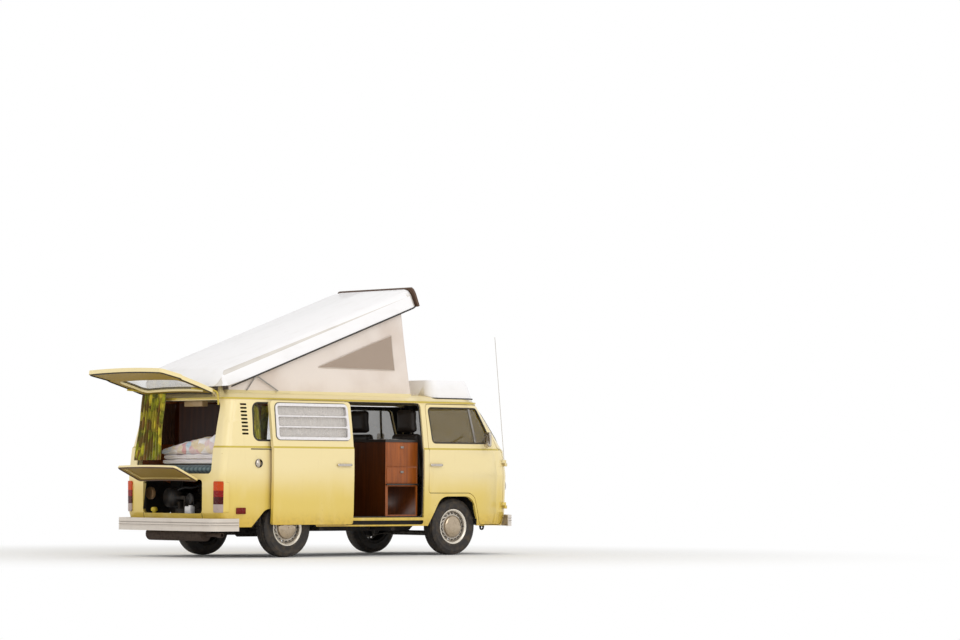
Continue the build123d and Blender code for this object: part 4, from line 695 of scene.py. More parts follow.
@dataclass(frozen=True)
class Vinyl(Finish):
    """Grained vinyl or leathercloth."""

    colour: Colour
    wear: Colour
    cell: float = 320.0

    def build(self, recipe: Recipe) -> bpy.types.Material:
        """Build the vinyl.

        Args:
            recipe: the empty recipe.

        Returns:
            The material.
        """
        grain = recipe.cells(self.cell)
        worn = recipe.noise(7.0, 5.0).between(0.45, 0.8)
        colour = recipe.mix(worn * 0.4, self.colour, self.wear)
        return recipe.finish(
            Base_Color=colour, Roughness=worn * 0.15 + 0.45, Normal=recipe.bump(grain, 0.3, 0.0008)
        )


@dataclass(frozen=True)
class Pane(Finish):
    """Window glass with a film of dust."""

    colour: Colour
    clear: float = 0.24

    def build(self, recipe: Recipe) -> bpy.types.Material:
        """Build the glass.

        Args:
            recipe: the empty recipe.

        Returns:
            The material.
        """
        film = recipe.noise(6.0, 5.0).between(0.45, 0.85)
        return recipe.finish(
            Base_Color=self.colour,
            Roughness=film * 0.08 + 0.03,
            Alpha=film * 0.10 + self.clear,
            Specular_IOR_Level=0.6,
        )


@dataclass(frozen=True)
class Lens(Finish):
    """Ribbed lamp lens with bands of colour by height."""

    bands: tuple[tuple[float, Colour], ...]
    low: float = 0.0
    high: float = 1.0
    ribs: float = 240.0

    def build(self, recipe: Recipe) -> bpy.types.Material:
        """Build the lens.

        Args:
            recipe: the empty recipe.

        Returns:
            The material.
        """
        share = (recipe.z - self.low) / (self.high - self.low)
        colour = recipe.node("ShaderNodeValToRGB", {"stops": self.bands}, {"Fac": share}, "Color")
        colour.socket.node.color_ramp.interpolation = "CONSTANT"
        turns = self.ribs * math.pi
        ribs = ((recipe.y + recipe.x) * turns).math("SINE") + (recipe.z * turns).math("SINE")
        soil = recipe.noise(40.0, 4.0).between(0.45, 0.8)
        colour = recipe.mix(soil * 0.25, colour, tint(60, 30, 20))
        return recipe.finish(
            Base_Color=colour,
            Roughness=soil * 0.2 + 0.25,
            Specular_IOR_Level=0.25,
            Normal=recipe.bump(ribs, 0.2, 0.001),
        )


PAINT = BodyPaint("body_paint", tint(236, 217, 160), tint(222, 194, 94), tint(212, 176, 58))
# Painted shade: a darker, more saturated copy of the body paint for the shaded belt ledge and gutter and
# for the tailgate's hinge arms and straps.
SHADOW_PAINT = BodyPaint("shadow_paint", tint(196, 172, 52), tint(186, 158, 38), tint(168, 138, 34))
# Painted shade: darker, matt copies of the body paint for the inner faces of the raised tailgate and engine
# lid, which lie in shade.
GATE_INNER_SHADE = BodyPaint(
    "gate_inner_paint", tint(146, 118, 22), tint(120, 94, 12), tint(104, 80, 8), gloss=0.0, roughness=0.5,
)
LID_INNER_SHADE = BodyPaint(
    "lid_inner_paint", tint(134, 106, 16), tint(118, 92, 10), tint(104, 80, 8), gloss=0.0, roughness=0.5,
)
GRP = Moulding("white_laminate", tint(242, 240, 240), tint(214, 208, 202), 0.34, 0.22)
GRP_INNER = Moulding("rough_laminate", tint(214, 208, 200), tint(170, 160, 148), 0.6)
BUMPER_PAINT = Moulding("bumper_white", tint(212, 202, 190), tint(150, 138, 126), 0.3, 0.16, 0.0)
# Painted shade: a darker tone for the lines that mark the bumpers' shaded grooves.
BUMPER_GROOVE_SHADE = Moulding("bumper_line", tint(146, 134, 122), tint(110, 98, 86), 0.5)
CHROME = Metal("chrome", tint(196, 188, 178), tint(96, 80, 64), 1.0, 0.10, 0.3)
# Hub cap chrome with grime, its colour darkened and browned as painted reflection of the ground.
HUB_CHROME_REFLECTION = Metal("hub_chrome", tint(182, 166, 144), tint(96, 74, 52), 1.0, 0.06, 0.2)
ENGINE_GRIME = Metal("engine_grime", tint(56, 48, 40), tint(24, 19, 15), 0.4, 0.6, 0.8, 120.0)
DULL_METAL = Metal("dull_metal", tint(150, 146, 140), tint(84, 66, 48), 0.9, 0.34, 0.5)
WHEEL_SILVER = Metal("wheel_silver", tint(186, 178, 166), tint(112, 88, 62), 0.55, 0.34, 0.45)
TRIM_RING = Metal("trim_ring", tint(234, 226, 212), tint(150, 130, 104), 0.4, 0.22, 0.12)
WHITE_FRAME = Metal("white_frame", tint(232, 228, 228), tint(170, 160, 150), 0.2, 0.32, 0.3)
BLACK_TIN = Metal("black_tin", tint(30, 27, 25), tint(88, 70, 50), 0.1, 0.46, 0.55, 60.0)
CAST = Metal("cast_metal", tint(112, 106, 98), tint(46, 38, 30), 0.7, 0.5, 0.75, 120.0)
RUST = Metal("rusty_steel", tint(72, 58, 48), tint(40, 28, 22), 0.5, 0.66, 0.7, 150.0)
UNDERSEAL = Metal("underseal", tint(30, 27, 24), tint(84, 66, 46), 0.0, 0.72, 0.6, 110.0)
SEAL = Rubber("rubber_seal")
TRIM_RUBBER = Rubber("brown_trim", tint(84, 60, 44), tint(120, 100, 78))
TYRE_RUBBER = Rubber("tyre_rubber", tint(36, 31, 28), tint(98, 84, 66), 0.5)
BLACK_PLASTIC = Rubber("black_plastic", tint(24, 22, 21), tint(60, 54, 48), 0.25)
CANVAS = Cloth("canvas", tint(230, 219, 210), tint(196, 176, 160), 700.0, 0.92, 0.45, 2.2)
TAPE = Cloth("canvas_tape", tint(204, 192, 180), tint(168, 152, 138), 900.0)
# Painted shade: the netting's darker tone fills its holes.
NETTING = Netting("netting", tint(190, 172, 156), tint(128, 110, 96))
LEAVES = LeafPrint("leaf_print", tint(140, 146, 36), tint(74, 72, 16), 800.0, 0.9)
# Partly painted shade: a brown curtain whose dark tone also stands in for the shaded inside behind the rear
# left quarter window.
BROWN_SHADE_CURTAIN = Cloth("brown_curtain", tint(84, 50, 26), tint(52, 30, 14), 800.0, 0.92, 0.5, 9.0)
PALE_CURTAIN = Cloth("pale_curtain", tint(236, 232, 228), tint(196, 190, 186), 800.0, 0.92, 0.4, 8.0)
SHEETING = Cloth("bed_sheet", tint(236, 232, 234), tint(206, 198, 204), 900.0, 0.92, 0.35, 6.0)
CHECKED = Check("checked_ticking", tint(120, 142, 146), tint(26, 44, 54), 800.0)
QUILT = Patchwork("patchwork", tint(238, 236, 240), tint(200, 196, 206), 900.0)
WOOD = Laminate("red_brown_laminate", tint(158, 82, 20), tint(116, 56, 12))
# Painted shade: a darker copy of the laminate for the kitchen's faces turned to the rear, the recess under
# it and the far cupboard.
SHADED_WOOD = Laminate("dark_laminate", tint(92, 44, 8), tint(60, 26, 4))
CEILING_BOX = Moulding("ceiling_light_case", tint(168, 140, 96), tint(120, 96, 60), 0.4)
COUNTER = Moulding("dark_counter", tint(40, 34, 30), tint(80, 70, 60), 0.3, 0.3)
SEAT_VINYL = Vinyl("seat_vinyl", tint(46, 38, 32), tint(74, 62, 52))
DASH_VINYL = Vinyl("dash_vinyl", tint(30, 28, 27), tint(52, 48, 44), 420.0)
HEADLINING = Vinyl("headlining", tint(196, 184, 160), tint(160, 146, 122), 260.0)
FLOORING = Rubber("floor_mat", tint(70, 56, 42), tint(110, 94, 72), 0.5)
GLASS = Pane("window_glass", tint(108, 88, 18), 0.50)
CLEAR_GLASS = Pane("tailgate_window_glass", tint(110, 100, 60), 0.20)
SIDE_GLASS = Pane("side_window_glass", tint(70, 74, 60), 0.12)
LOUVRE_GLASS = Pane("louvre_glass_panes", tint(216, 210, 204), 0.34)
TAIL_LENS = Lens(
    "tail_lens",
    (
        (0.0, tint(176, 158, 150)), (0.26, tint(70, 2, 1)), (0.50, tint(134, 10, 3)),
        (0.70, tint(196, 66, 2)),
    ),
    0.487, 0.820,
)
AIR_CLEANER = Metal("air_cleaner_paint", tint(176, 138, 96), tint(90, 62, 40), 0.1, 0.45, 0.4)
YELLOW_CAP = Metal("yellow_cap", tint(214, 186, 40), tint(120, 96, 30), 0.0, 0.4, 0.3)
RED_LENS = Lens("red_reflector", ((0.0, tint(112, 10, 4)), (1.0, tint(112, 10, 4))))
AMBER_LENS = Lens("amber_lens", ((0.0, tint(222, 120, 24)), (1.0, tint(222, 120, 24))))
HEAD_LENS = Lens("head_lens", ((0.0, tint(214, 214, 208)), (1.0, tint(214, 214, 208))), ribs=90.0)


# Making pieces


def turned(place: Sequence[float], degrees: float, axis: str) -> Matrix:
    """A place with a turn about one of its own axes."""
    return Matrix.Translation(place) @ Matrix.Rotation(math.radians(degrees), 4, axis)


def turn_about(hinge: tuple[float, float], degrees: float) -> Matrix:
    """Rotation about a crosswise axis at (x, z), by an angle about +Y."""
    centre = Vector((hinge[0], 0.0, hinge[1]))
    return turned(centre, degrees, "Y") @ Matrix.Translation(-centre)


def new_piece(
    name: str,
    mesh: bpy.types.Mesh | bmesh.types.BMesh,
    finishes: Sequence[Finish],
    body: str = "body",
    replaces: Sequence[str] = (),
    angle: float = 38.0,
) -> bpy.types.Object:
    """Make a mesh a finished piece of the van.

    Args:
        name: the piece's name.
        mesh: its mesh, or a bmesh, which is freed.
        finishes: a finish for each material index.
        body: the body that it rides on.
        replaces: the CAD nodes that it stands for.
        angle: edges sharper than this stay crisp.

    Returns:
        The new object.
    """
    if isinstance(mesh, bmesh.types.BMesh):
        data = bpy.data.meshes.new(name)
        mesh.to_mesh(data)
        mesh.free()
        mesh = data
    piece = bpy.data.objects.new(name, mesh)
    bpy.context.scene.collection.objects.link(piece)
    mesh.polygons.foreach_set("use_smooth", [True] * len(mesh.polygons))
    mesh.set_sharp_from_angle(angle=math.radians(angle))
    for finish in finishes:
        mesh.materials.append(finish.material())
    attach(piece, body)
    if replaces:
        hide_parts(*replaces)
    LOG.info("%s: %d faces on %s", name, len(mesh.polygons), body)
    return piece


def merged_copy(
    name: str,
    nodes: Sequence[str],
    finish: Finish,
    regions: Sequence[tuple[Finish, FaceTest]] = (),
    body: str = "body",
    angle: float = 30.0,
    cuts: Sequence[tuple[Point, Point]] = (),
) -> bpy.types.Object:
    """A smooth copy of CAD nodes, finished by region.

    Args:
        name: the piece's name.
        nodes: the CAD nodes that it replaces.
        finish: the finish of what no region takes.
        regions: finishes with their test of a face's centre and normal; the first that holds is taken.
        body: the body that it rides on.
        angle: edges sharper than this stay crisp.
        cuts: planes, each a point and a normal, that divide faces between regions.

    Returns:
        The copy.
    """
    mesh = bmesh.new()
    for node in nodes:
        mesh.from_mesh(FRAME["nodes"][node].data)
    bmesh.ops.remove_doubles(mesh, verts=mesh.verts, dist=MERGED)
    for point, normal in cuts:
        geometry = [*mesh.verts, *mesh.edges, *mesh.faces]
        bmesh.ops.bisect_plane(mesh, geom=geometry, dist=1e-6, plane_co=point, plane_no=normal)
    for face in mesh.faces:
        centre, normal = face.calc_center_median(), face.normal
        face.material_index = next(
            (index for index, (_, test) in enumerate(regions, 1) if test(centre, normal)), 0
        )
    return new_piece(name, mesh, [finish, *(item for item, _ in regions)], body, nodes, angle)


def coat(node: str, finish: Finish) -> None:
    """Give a CAD node a finish and leave its shape as it is."""
    for item in FRAME["nodes"][node].material_slots:
        item.material = finish.material()


@dataclass(frozen=True)
class Zone:
    """A test of which faces take a finish, by limits of their centre and of the way that they face."""

    x: Limits = ANY
    y: Limits = ANY
    z: Limits = ANY
    beside: Limits = ANY  # distance from the centre plane
    depth: Limits = ANY  # distance inside the body's skin
    ahead: Limits = ANY  # the direction's part along X
    up: Limits = ANY  # the direction's part along Z
    back: Matrix | None = None  # from the place where an open panel stands to its closed place

    def __call__(self, centre: Vector, normal: Vector) -> bool:
        """Test a face.

        Args:
            centre: its centre.
            normal: its direction.

        Returns:
            Whether it is in the zone.
        """
        if self.back:
            centre, normal = self.back @ centre, self.back.to_3x3() @ normal
        pairs = (
            (self.x, centre.x), (self.y, centre.y), (self.z, centre.z), (self.beside, abs(centre.y)),
            (self.ahead, normal.x), (self.up, normal.z),
        )
        if not all(low <= value <= high for (low, high), value in pairs):
            return False
        return self.depth == ANY or self.depth[0] <= FORM.depth(centre) <= self.depth[1]


def either(*tests: FaceTest) -> FaceTest:
    """Test that holds where one of several holds."""
    return lambda centre, normal: any(test(centre, normal) for test in tests)


def rounded(corners: Outline, step: float = 0.05) -> list[tuple[float, float]]:
    """A closed outline with rounded corners, as points no further apart than a step.

    Args:
        corners: two coordinates and a radius each, all in millimetres.
        step: the largest gap between points, in metres.

    Returns:
        The outline's points in metres.
    """
    knots = [(Vector((a, b)) / MILLIMETRES, radius / MILLIMETRES) for a, b, radius in corners]
    ring: list[Vector] = []
    for index, (corner, radius) in enumerate(knots):
        back = (knots[index - 1][0] - corner).normalized()
        ahead = (knots[(index + 1) % len(knots)][0] - corner).normalized()
        half = back.angle(ahead) / 2
        reach = radius / math.tan(half)
        if radius < 1e-4:
            ring.append(corner)
            continue
        centre = corner + (back + ahead).normalized() * (radius / math.sin(half))
        first, last = corner + back * reach - centre, corner + ahead * reach - centre
        sweep = math.atan2(first.x * last.y - first.y * last.x, first.dot(last))
        count = max(3, round(abs(sweep) / 0.26))
        for number in range(count + 1):
            turn = Matrix.Rotation(sweep * number / count, 2)
            ring.append(centre + turn @ first)
    points = []
    for start, end in zip(ring, ring[1:] + ring[:1]):
        count = max(1, math.ceil((end - start).length / step))
        points += [tuple(start.lerp(end, number / count)) for number in range(count)]
    return points


def tube(
    name: str,
    points: Sequence[Vector],
    radius: float,
    finish: Finish,
    body: str = "body",
    closed: bool = True,
    smooth: bool = False,
) -> bpy.types.Object:
    """A round rubber, rod or pipe along a line of points.

    Args:
        name: the piece's name.
        points: the line.
        radius: the tube's radius.
        finish: its finish.
        body: the body that it rides on.
        closed: whether the line joins its ends.
        smooth: whether a curve is drawn through the points as control points.

    Returns:
        The new object.
    """
    curve = bpy.data.curves.new(name, "CURVE")
    curve.dimensions, curve.bevel_depth, curve.bevel_resolution = "3D", radius, 2
    curve.use_fill_caps = not closed
    spline = curve.splines.new("NURBS" if smooth else "POLY")
    spline.points.add(len(points) - 1)
    for knot, point in zip(spline.points, points):
        knot.co = (*point, 1.0)
    spline.use_cyclic_u = closed
    if smooth:
        spline.order_u, spline.use_endpoint_u, curve.resolution_u = 3, not closed, 8
    maker = bpy.data.objects.new(name + "_line", curve)
    mesh = bpy.data.meshes.new_from_object(maker)
    bpy.data.objects.remove(maker)
    bpy.data.curves.remove(curve)
    return new_piece(name, mesh, [finish], body, angle=TUBE_ANGLE)


def board(
    low: Point, high: Point, edge: float = 0.002, into: bmesh.types.BMesh | None = None
) -> bmesh.types.BMesh:
    """A board, bar or case with bevelled edges.

    Args:
        low: its lowest corner.
        high: its highest corner.
        edge: how far its edges are bevelled.
        into: a bmesh that it is added to.

    Returns:
        That bmesh, or a new one.
    """
    mesh = into or bmesh.new()
    size, middle = Vector(high) - Vector(low), (Vector(high) + Vector(low)) / 2
    made = bmesh.ops.create_cube(mesh, size=1.0)["verts"]
    bmesh.ops.scale(mesh, verts=made, vec=size)
    bmesh.ops.translate(mesh, verts=made, vec=middle)
    edges = list({edge for vert in made for edge in vert.link_edges})
    bmesh.ops.bevel(
        mesh, geom=edges, offset=edge, offset_type="OFFSET", segments=2, profile=0.5, affect="EDGES",
        material=-1, clamp_overlap=True,
    )
    return mesh


def turned_part(profile: Sequence[tuple[float, float]], steps: int, place: Matrix) -> bmesh.types.BMesh:
    """A shape spun about its own Z axis.

    Args:
        profile: its outline as pairs of radius and height.
        steps: faces round it.
        place: where it is put.

    Returns:
        The placed shape.
    """
    mesh = bmesh.new()
    line = [mesh.verts.new((radius, 0.0, height)) for radius, height in profile]
    edges = [mesh.edges.new(pair) for pair in zip(line, line[1:])]
    bmesh.ops.spin(
        mesh, geom=line + edges, axis=(0, 0, 1), cent=(0, 0, 0), angle=2 * math.pi, steps=steps,
        use_merge=True,
    )
    bmesh.ops.remove_doubles(mesh, verts=mesh.verts, dist=1e-6)
    bmesh.ops.recalc_face_normals(mesh, faces=mesh.faces)
    bmesh.ops.transform(mesh, matrix=place, verts=mesh.verts)
    return mesh


def cloth_grid(across: int, along: int, place: Laying, closed: bool = False) -> bmesh.types.BMesh:
    """A sheet of cloth: a grid whose points are laid by a function of two shares.

    Args:
        across: cells across.
        along: cells along.
        place: the function from the shares across and along, 0 to 1, to a point.
        closed: whether the sheet's two side edges are joined.

    Returns:
        The laid grid.
    """
    mesh = bmesh.new()
    bmesh.ops.create_grid(mesh, x_segments=across, y_segments=along, size=0.5)
    for vert in mesh.verts:
        vert.co = place(vert.co.x + 0.5, vert.co.y + 0.5)
    if closed:
        bmesh.ops.remove_doubles(mesh, verts=mesh.verts, dist=MERGED)
    return mesh


def stuffed(piece: bpy.types.Object, voxel: float, pressure: float, reach: float) -> None:
    """Swell a pad by a seeded cloth simulation, with its result applied.

    Args:
        piece: the pad, slightly smaller than it ends.
        voxel: the size of the remeshed faces.
        pressure: the pressure inside.
        reach: the furthest that a point moves.
    """
    modifier = piece.modifiers.new("Remesh", "REMESH")
    modifier.mode, modifier.voxel_size = "VOXEL", voxel
    apply_modifiers(piece)
    start = [vert.co.copy() for vert in piece.data.vertices]
    cloth = piece.modifiers.new("Cloth", "CLOTH")
    settings = cloth.settings
    settings.quality, settings.use_pressure, settings.uniform_pressure_force = 4, True, pressure
    settings.effector_weights.gravity = 0.0
    settings.tension_stiffness = settings.compression_stiffness = PAD_STIFFNESS
    for number in range(1, SWELLING_FRAMES + 1):
        bpy.context.scene.frame_set(number)
    apply_modifiers(piece)
    bpy.context.scene.frame_set(1)
    for vert, first in zip(piece.data.vertices, start):
        move = vert.co - first
        if move.length > reach:
            vert.co = first + move.normalized() * reach
    piece.data.polygons.foreach_set("use_smooth", [True] * len(piece.data.polygons))


def apply_modifiers(piece: bpy.types.Object) -> None:
    """Make a piece's modifiers part of its mesh.

    Args:
        piece: the piece.
    """
    graph = bpy.context.evaluated_depsgraph_get()
    graph.update()
    mesh = bpy.data.meshes.new_from_object(piece.evaluated_get(graph))
    piece.modifiers.clear()
    piece.data = mesh


# The body's shape


@dataclass(frozen=True)
class Ring:
    """The body's plan at one height: ends bowed, corners rounded."""

    height: float
    nose: float
    tail: float
    half: float
    front_radius: float
    front_bow: float
    rear_radius: float
    rear_bow: float

    def end_x(self, y: float, end: End) -> float:
        """Find the nose's or the tail's x.

        Args:
            y: the distance from the centre plane, either way.
            end: which of the two ends.

        Returns:
            The x there.
        """
        front = end is End.FRONT
        radius, bow = (self.front_radius, self.front_bow) if front else (self.rear_radius, self.rear_bow)
        tip, sign = (self.nose if front else self.tail), end.value
        centre = self.half - radius
        bow_radius = ((radius + bow) ** 2 + centre**2 - radius**2) / (2 * bow)
        turn = math.atan2(centre, bow_radius - radius - bow)
        if abs(y) < bow_radius * math.sin(turn):
            return tip - sign * (bow_radius - math.sqrt(bow_radius**2 - y * y))
        over = min(abs(y) - centre, radius)
        return tip - sign * (bow + radius - math.sqrt(max(radius**2 - over**2, 0.0)))

    def side_y(self, x: float) -> float:
        """Find the side's distance from the centre plane.

        Args:
            x: the place along the van.

        Returns:
            The distance there.
        """
        front = self.nose - self.front_bow - self.front_radius
        rear = self.tail + self.rear_bow + self.rear_radius
        if x > front:
            over, radius = min(x - front, self.front_radius), self.front_radius
        elif x < rear:
            over, radius = min(rear - x, self.rear_radius), self.rear_radius
        else:
            return self.half
        return self.half - radius + math.sqrt(max(radius**2 - over**2, 0.0))


@dataclass(frozen=True)
class BodyForm:
    """The body's outer skin as plans at rising heights, in metres."""

    rings: tuple[Ring, ...] = tuple(
        Ring(*(value / MILLIMETRES for value in row))
        for row in (
            (330, 2092, -2122, 836, 290, 60, 66, 18),
            (480, 2122, -2163, 850, 290, 62, 66, 20),
            (900, 2140, -2165, 860, 300, 64, 68, 22),
            (1180, 2102, -2130, 858, 300, 70, 70, 22),
            (1200, 2078, -2118, 846, 290, 72, 72, 22),
            (1450, 1912, -2068, 813, 280, 76, 82, 22),
            (1705, 1738, -2010, 775, 270, 80, 95, 22),
            (1722, 1726, -1998, 765, 265, 80, 95, 22),
            (1748, 1690, -1972, 732, 250, 78, 95, 20),
            (1768, 1610, -1915, 672, 230, 70, 95, 16),
        )
    )

    def ring(self, height: float) -> Ring:
        """Find the body's plan.

        Args:
            height: the height.

        Returns:
            The plan there, between those of the table.
        """
        for low, high in zip(self.rings, self.rings[1:]):
            if height <= high.height or high is self.rings[-1]:
                share = min(max((height - low.height) / (high.height - low.height), 0.0), 1.0)
                pairs = zip(vars(low).values(), vars(high).values())
                return Ring(*(a + (b - a) * share for a, b in pairs))
        return self.rings[-1]

    def side(self, x: float, z: float, side: float, out: float = 0.0) -> Vector:
        """A point on a side, so far out from it."""
        return Vector((x, side * (self.ring(z).side_y(x) + out), z))

    def end(self, y: float, z: float, end: End, out: float = 0.0) -> Vector:
        """A point on the front or the back, so far out from it."""
        return Vector((self.ring(z).end_x(y, end) + out * end.value, y, z))

    def depth(self, point: Vector) -> float:
        """Measure how far a point lies inside the skin.

        Args:
            point: the point.

        Returns:
            The distance, level with the ground, less than zero outside.
        """
        ring = self.ring(point.z)
        return min(
            ring.side_y(point.x) - abs(point.y),
            ring.end_x(point.y, End.FRONT) - point.x,
            point.x - ring.end_x(point.y, End.REAR),
        )

    def slope(self, point: Vector, band: int) -> float:
        """Measure how fast the skin goes outwards with height.

        Args:
            point: the place, of which only x and y count.
            band: the band of the table, by the number of its lower plan.

        Returns:
            The way outwards for each metre of height, less than zero where the skin leans in.
        """
        low, high = self.rings[band].height, self.rings[band + 1].height
        at_low, at_high = (self.depth(Vector((point.x, point.y, height))) for height in (low, high))
        return (at_high - at_low) / (high - low)

    def normal(self, point: Vector, height: float) -> Vector:
        """The skin's outward direction at a point, blended over the bands' soft bends.

        Args:
            point: a point of the skin.
            height: the middle of the face that it belongs to.

        Returns:
            The direction.
        """
        heights = [ring.height for ring in self.rings]
        band = max(i for i in range(len(heights) - 1) if heights[i] <= height or i == 0)
        slopes = []
        for end, beside in ((0, band - 1), (1, band + 1)):
            own = self.slope(point, band)
            other = self.slope(point, beside) if 0 <= beside < len(heights) - 1 else own
            slopes.append((own + other) / 2 if abs(own - other) < CREASE else own)
        share = (point.z - heights[band]) / (heights[band + 1] - heights[band])
        lean = slopes[0] + (slopes[1] - slopes[0]) * min(max(share, 0.0), 1.0)
        step = 5e-4
        across = [
            (self.depth(point + axis * step) - self.depth(point - axis * step)) / (2 * step)
            for axis in (Vector((1, 0, 0)), Vector((0, 1, 0)))
        ]
        flat = Vector((-across[0], -across[1], 0.0)).normalized()
        return (flat - Vector((0, 0, lean))).normalized()

    def soften(self, piece: bpy.types.Object, place: Matrix) -> None:
        """Give a panel's outer faces the skin's own directions, so that long faces shade evenly.

        Args:
            piece: the panel.
            place: where the panel stands, from its closed place.
        """
        back, turn = place.inverted(), place.to_3x3()
        mesh = piece.data
        normals = [(0.0, 0.0, 0.0)] * len(mesh.loops)
        for face in mesh.polygons:
            centre = back @ face.center
            if abs(self.depth(centre)) > SKIN_DEPTH or centre.z > self.rings[-4].height:
                continue
            if (back.to_3x3() @ face.normal).dot(self.normal(centre, centre.z)) < FLUSH:
                continue
            for loop in face.loop_indices:
                corner = back @ mesh.vertices[mesh.loops[loop].vertex_index].co
                normals[loop] = tuple(turn @ self.normal(corner, centre.z))
        mesh.normals_split_custom_set(normals)


FORM = BodyForm()
FRAME: dict = {}


def on_side(outline: Outline, side: float, out: float) -> list[Vector]:
    """A side outline's points laid on the skin."""
    return [FORM.side(x, z, side, out) for x, z in rounded(outline)]


def on_end(outline: Outline, end: End, out: float) -> list[Vector]:
    """An end outline's points laid on the front or back."""
    return [FORM.end(y, z, end, out) for y, z in rounded(outline)]


@dataclass
class BodyShell:
    """The welded body: sides, nose, tail corners and roof, with what is fixed in their openings."""

    quarter: Outline = (
        (-1690, 1262, 70), (-590, 1262, 60), (-580, 1666, 60), (-1672, 1666, 75),
    )
    middle: Outline = (
        (-372, 1266, 55), (640, 1266, 55), (625, 1660, 60), (-360, 1660, 60),
    )
    windscreen: Outline = (
        (-715, 1238, 90), (715, 1238, 90), (640, 1655, 110), (-640, 1655, 110),
    )
    gate_opening: Outline = (
        (-683, 901, 50), (683, 901, 50), (654, 1692, 92), (-654, 1692, 92),
    )
    doorway: Outline = (
        (-428, 430, 20), (701, 430, 40), (701, 1700, 60), (-428, 1700, 60),
    )
    sill_start: tuple[float, float] = (-0.43, 0.395)
    sill_size: tuple[float, float] = (1.13, 0.03)

    def build(self) -> None:
        """Dress the panels and fit seals, glass and trim."""
        self.panels()
        self.seals()
        self.trim()

    def panels(self) -> None:
        """Paint outside, lining inside, and the small parts that are one with the panels."""
        lining = Zone(z=(0.4, 1.69), depth=LINING_DEPTH)
        # The belt ledge takes painted shade.
        belt = (SHADOW_PAINT, Zone(z=BELT_LEDGE, depth=LEDGE_DEPTH, up=UPWARD))
        under = (UNDERSEAL, Zone(z=below(0.42), depth=above(0.006)))
        bay = (UNDERSEAL, Zone(x=(-3.0, -0.99), z=(0.0, 0.872), depth=above(0.020)))
        # Painted shade: the slots of the grille and the door runner, the insides of the vents and the fuel
        # cap's wall are rubber black.
        grille = Zone(z=(1.04, 1.15), beside=(0.0, 0.44), depth=(0.004, 0.04))
        runner = Zone(x=(-1.75, -0.45), y=below(0.0), z=(1.160, 1.176), depth=above(0.002))
        on_sides = [
            (SEAL, self.cap_ring),
            (CHROME, Zone(x=(-1.70, -1.59), beside=(0.855, 0.90), z=(0.96, 1.07))),
            (RED_LENS, Zone(x=(-1.945, -1.805), beside=(0.8515, 0.90), z=(0.465, 0.545))),
            (SEAL, Zone(x=(-1.86, -1.74), z=(1.31, 1.68), depth=(0.003, 0.041))),
            (SEAL, runner), belt, under, bay, (WOOD, lining),
        ]
        for name, node, regions in (
            ("right_side_skin", "right_side", on_sides),
            ("left_side_skin", "left_side", on_sides),
            ("front_skin", "front_panel", [(SEAL, grille), belt, under, (DASH_VINYL, lining)]),
            ("rear_skin", "rear_panel", [under, bay, belt]),
        ):
            FORM.soften(merged_copy(name, [node], PAINT, regions), Matrix())
        # The gutter takes painted shade.
        gutter = Zone(z=(1.69, 1.727), depth=below(0.0))
        ceiling = Zone(depth=above(0.03), up=below(-0.3))
        merged_copy(
            "roof_skin", ["roof_panel"], PAINT, [(SHADOW_PAINT, gutter), (HEADLINING, ceiling)],
        )
        coat("windscreen", GLASS)
        coat("side_glass", SIDE_GLASS)

    @staticmethod
    def cap_ring(centre: Vector, normal: Vector) -> bool:
        """Whether a face is in the wall of the fuel cap, which takes painted shade as dark as the gap round
        it.
        """
        near = math.hypot(centre.x + 1.642, centre.z - 1.016) < 0.048
        return near and centre.y < -0.85 and abs(normal.y) < 0.5

    def seals(self) -> None:
        """Rubbers round the fixed windows and the openings."""
        for name, side in SIDES:
            line = on_side(self.quarter, side, GLAZING_DEPTH)
            tube(f"quarter_seal_{name}", line, 0.011, SEAL)
        for name, line, radius in (
            ("middle_seal", on_side(self.middle, 1.0, GLAZING_DEPTH), 0.011),
            ("windscreen_seal", on_end(self.windscreen, End.FRONT, GLAZING_DEPTH), 0.013),
            ("gate_seal", on_end(self.gate_opening, End.REAR, -0.018), 0.0062),
            ("doorway_seal", on_side(self.doorway, -1.0, -0.030), 0.010),
        ):
            tube(name, line, radius, SEAL)
        for name, side in SIDES:
            line = [FORM.end(side * 0.530, 0.482 - 0.012 * step, End.REAR, 0.0005) for step in range(6)]
            tube(f"valance_gap_{name}", line, 0.0025, SEAL, closed=False)

    def trim(self) -> None:
        """The sill strip below the doorway, the aerial and the wipers."""
        (x, z), (length, height) = self.sill_start, self.sill_size
        strip = cloth_grid(60, 3, lambda u, v: FORM.side(x + length * u, z + height * v, -1.0, 0.003))
        bmesh.ops.solidify(strip, geom=strip.faces, thickness=0.002)
        bmesh.ops.recalc_face_normals(strip, faces=strip.faces)
        new_piece("sill_strip", strip, [PAINT])
        coat("aerial", CHROME)
        coat("wipers", BLACK_TIN)


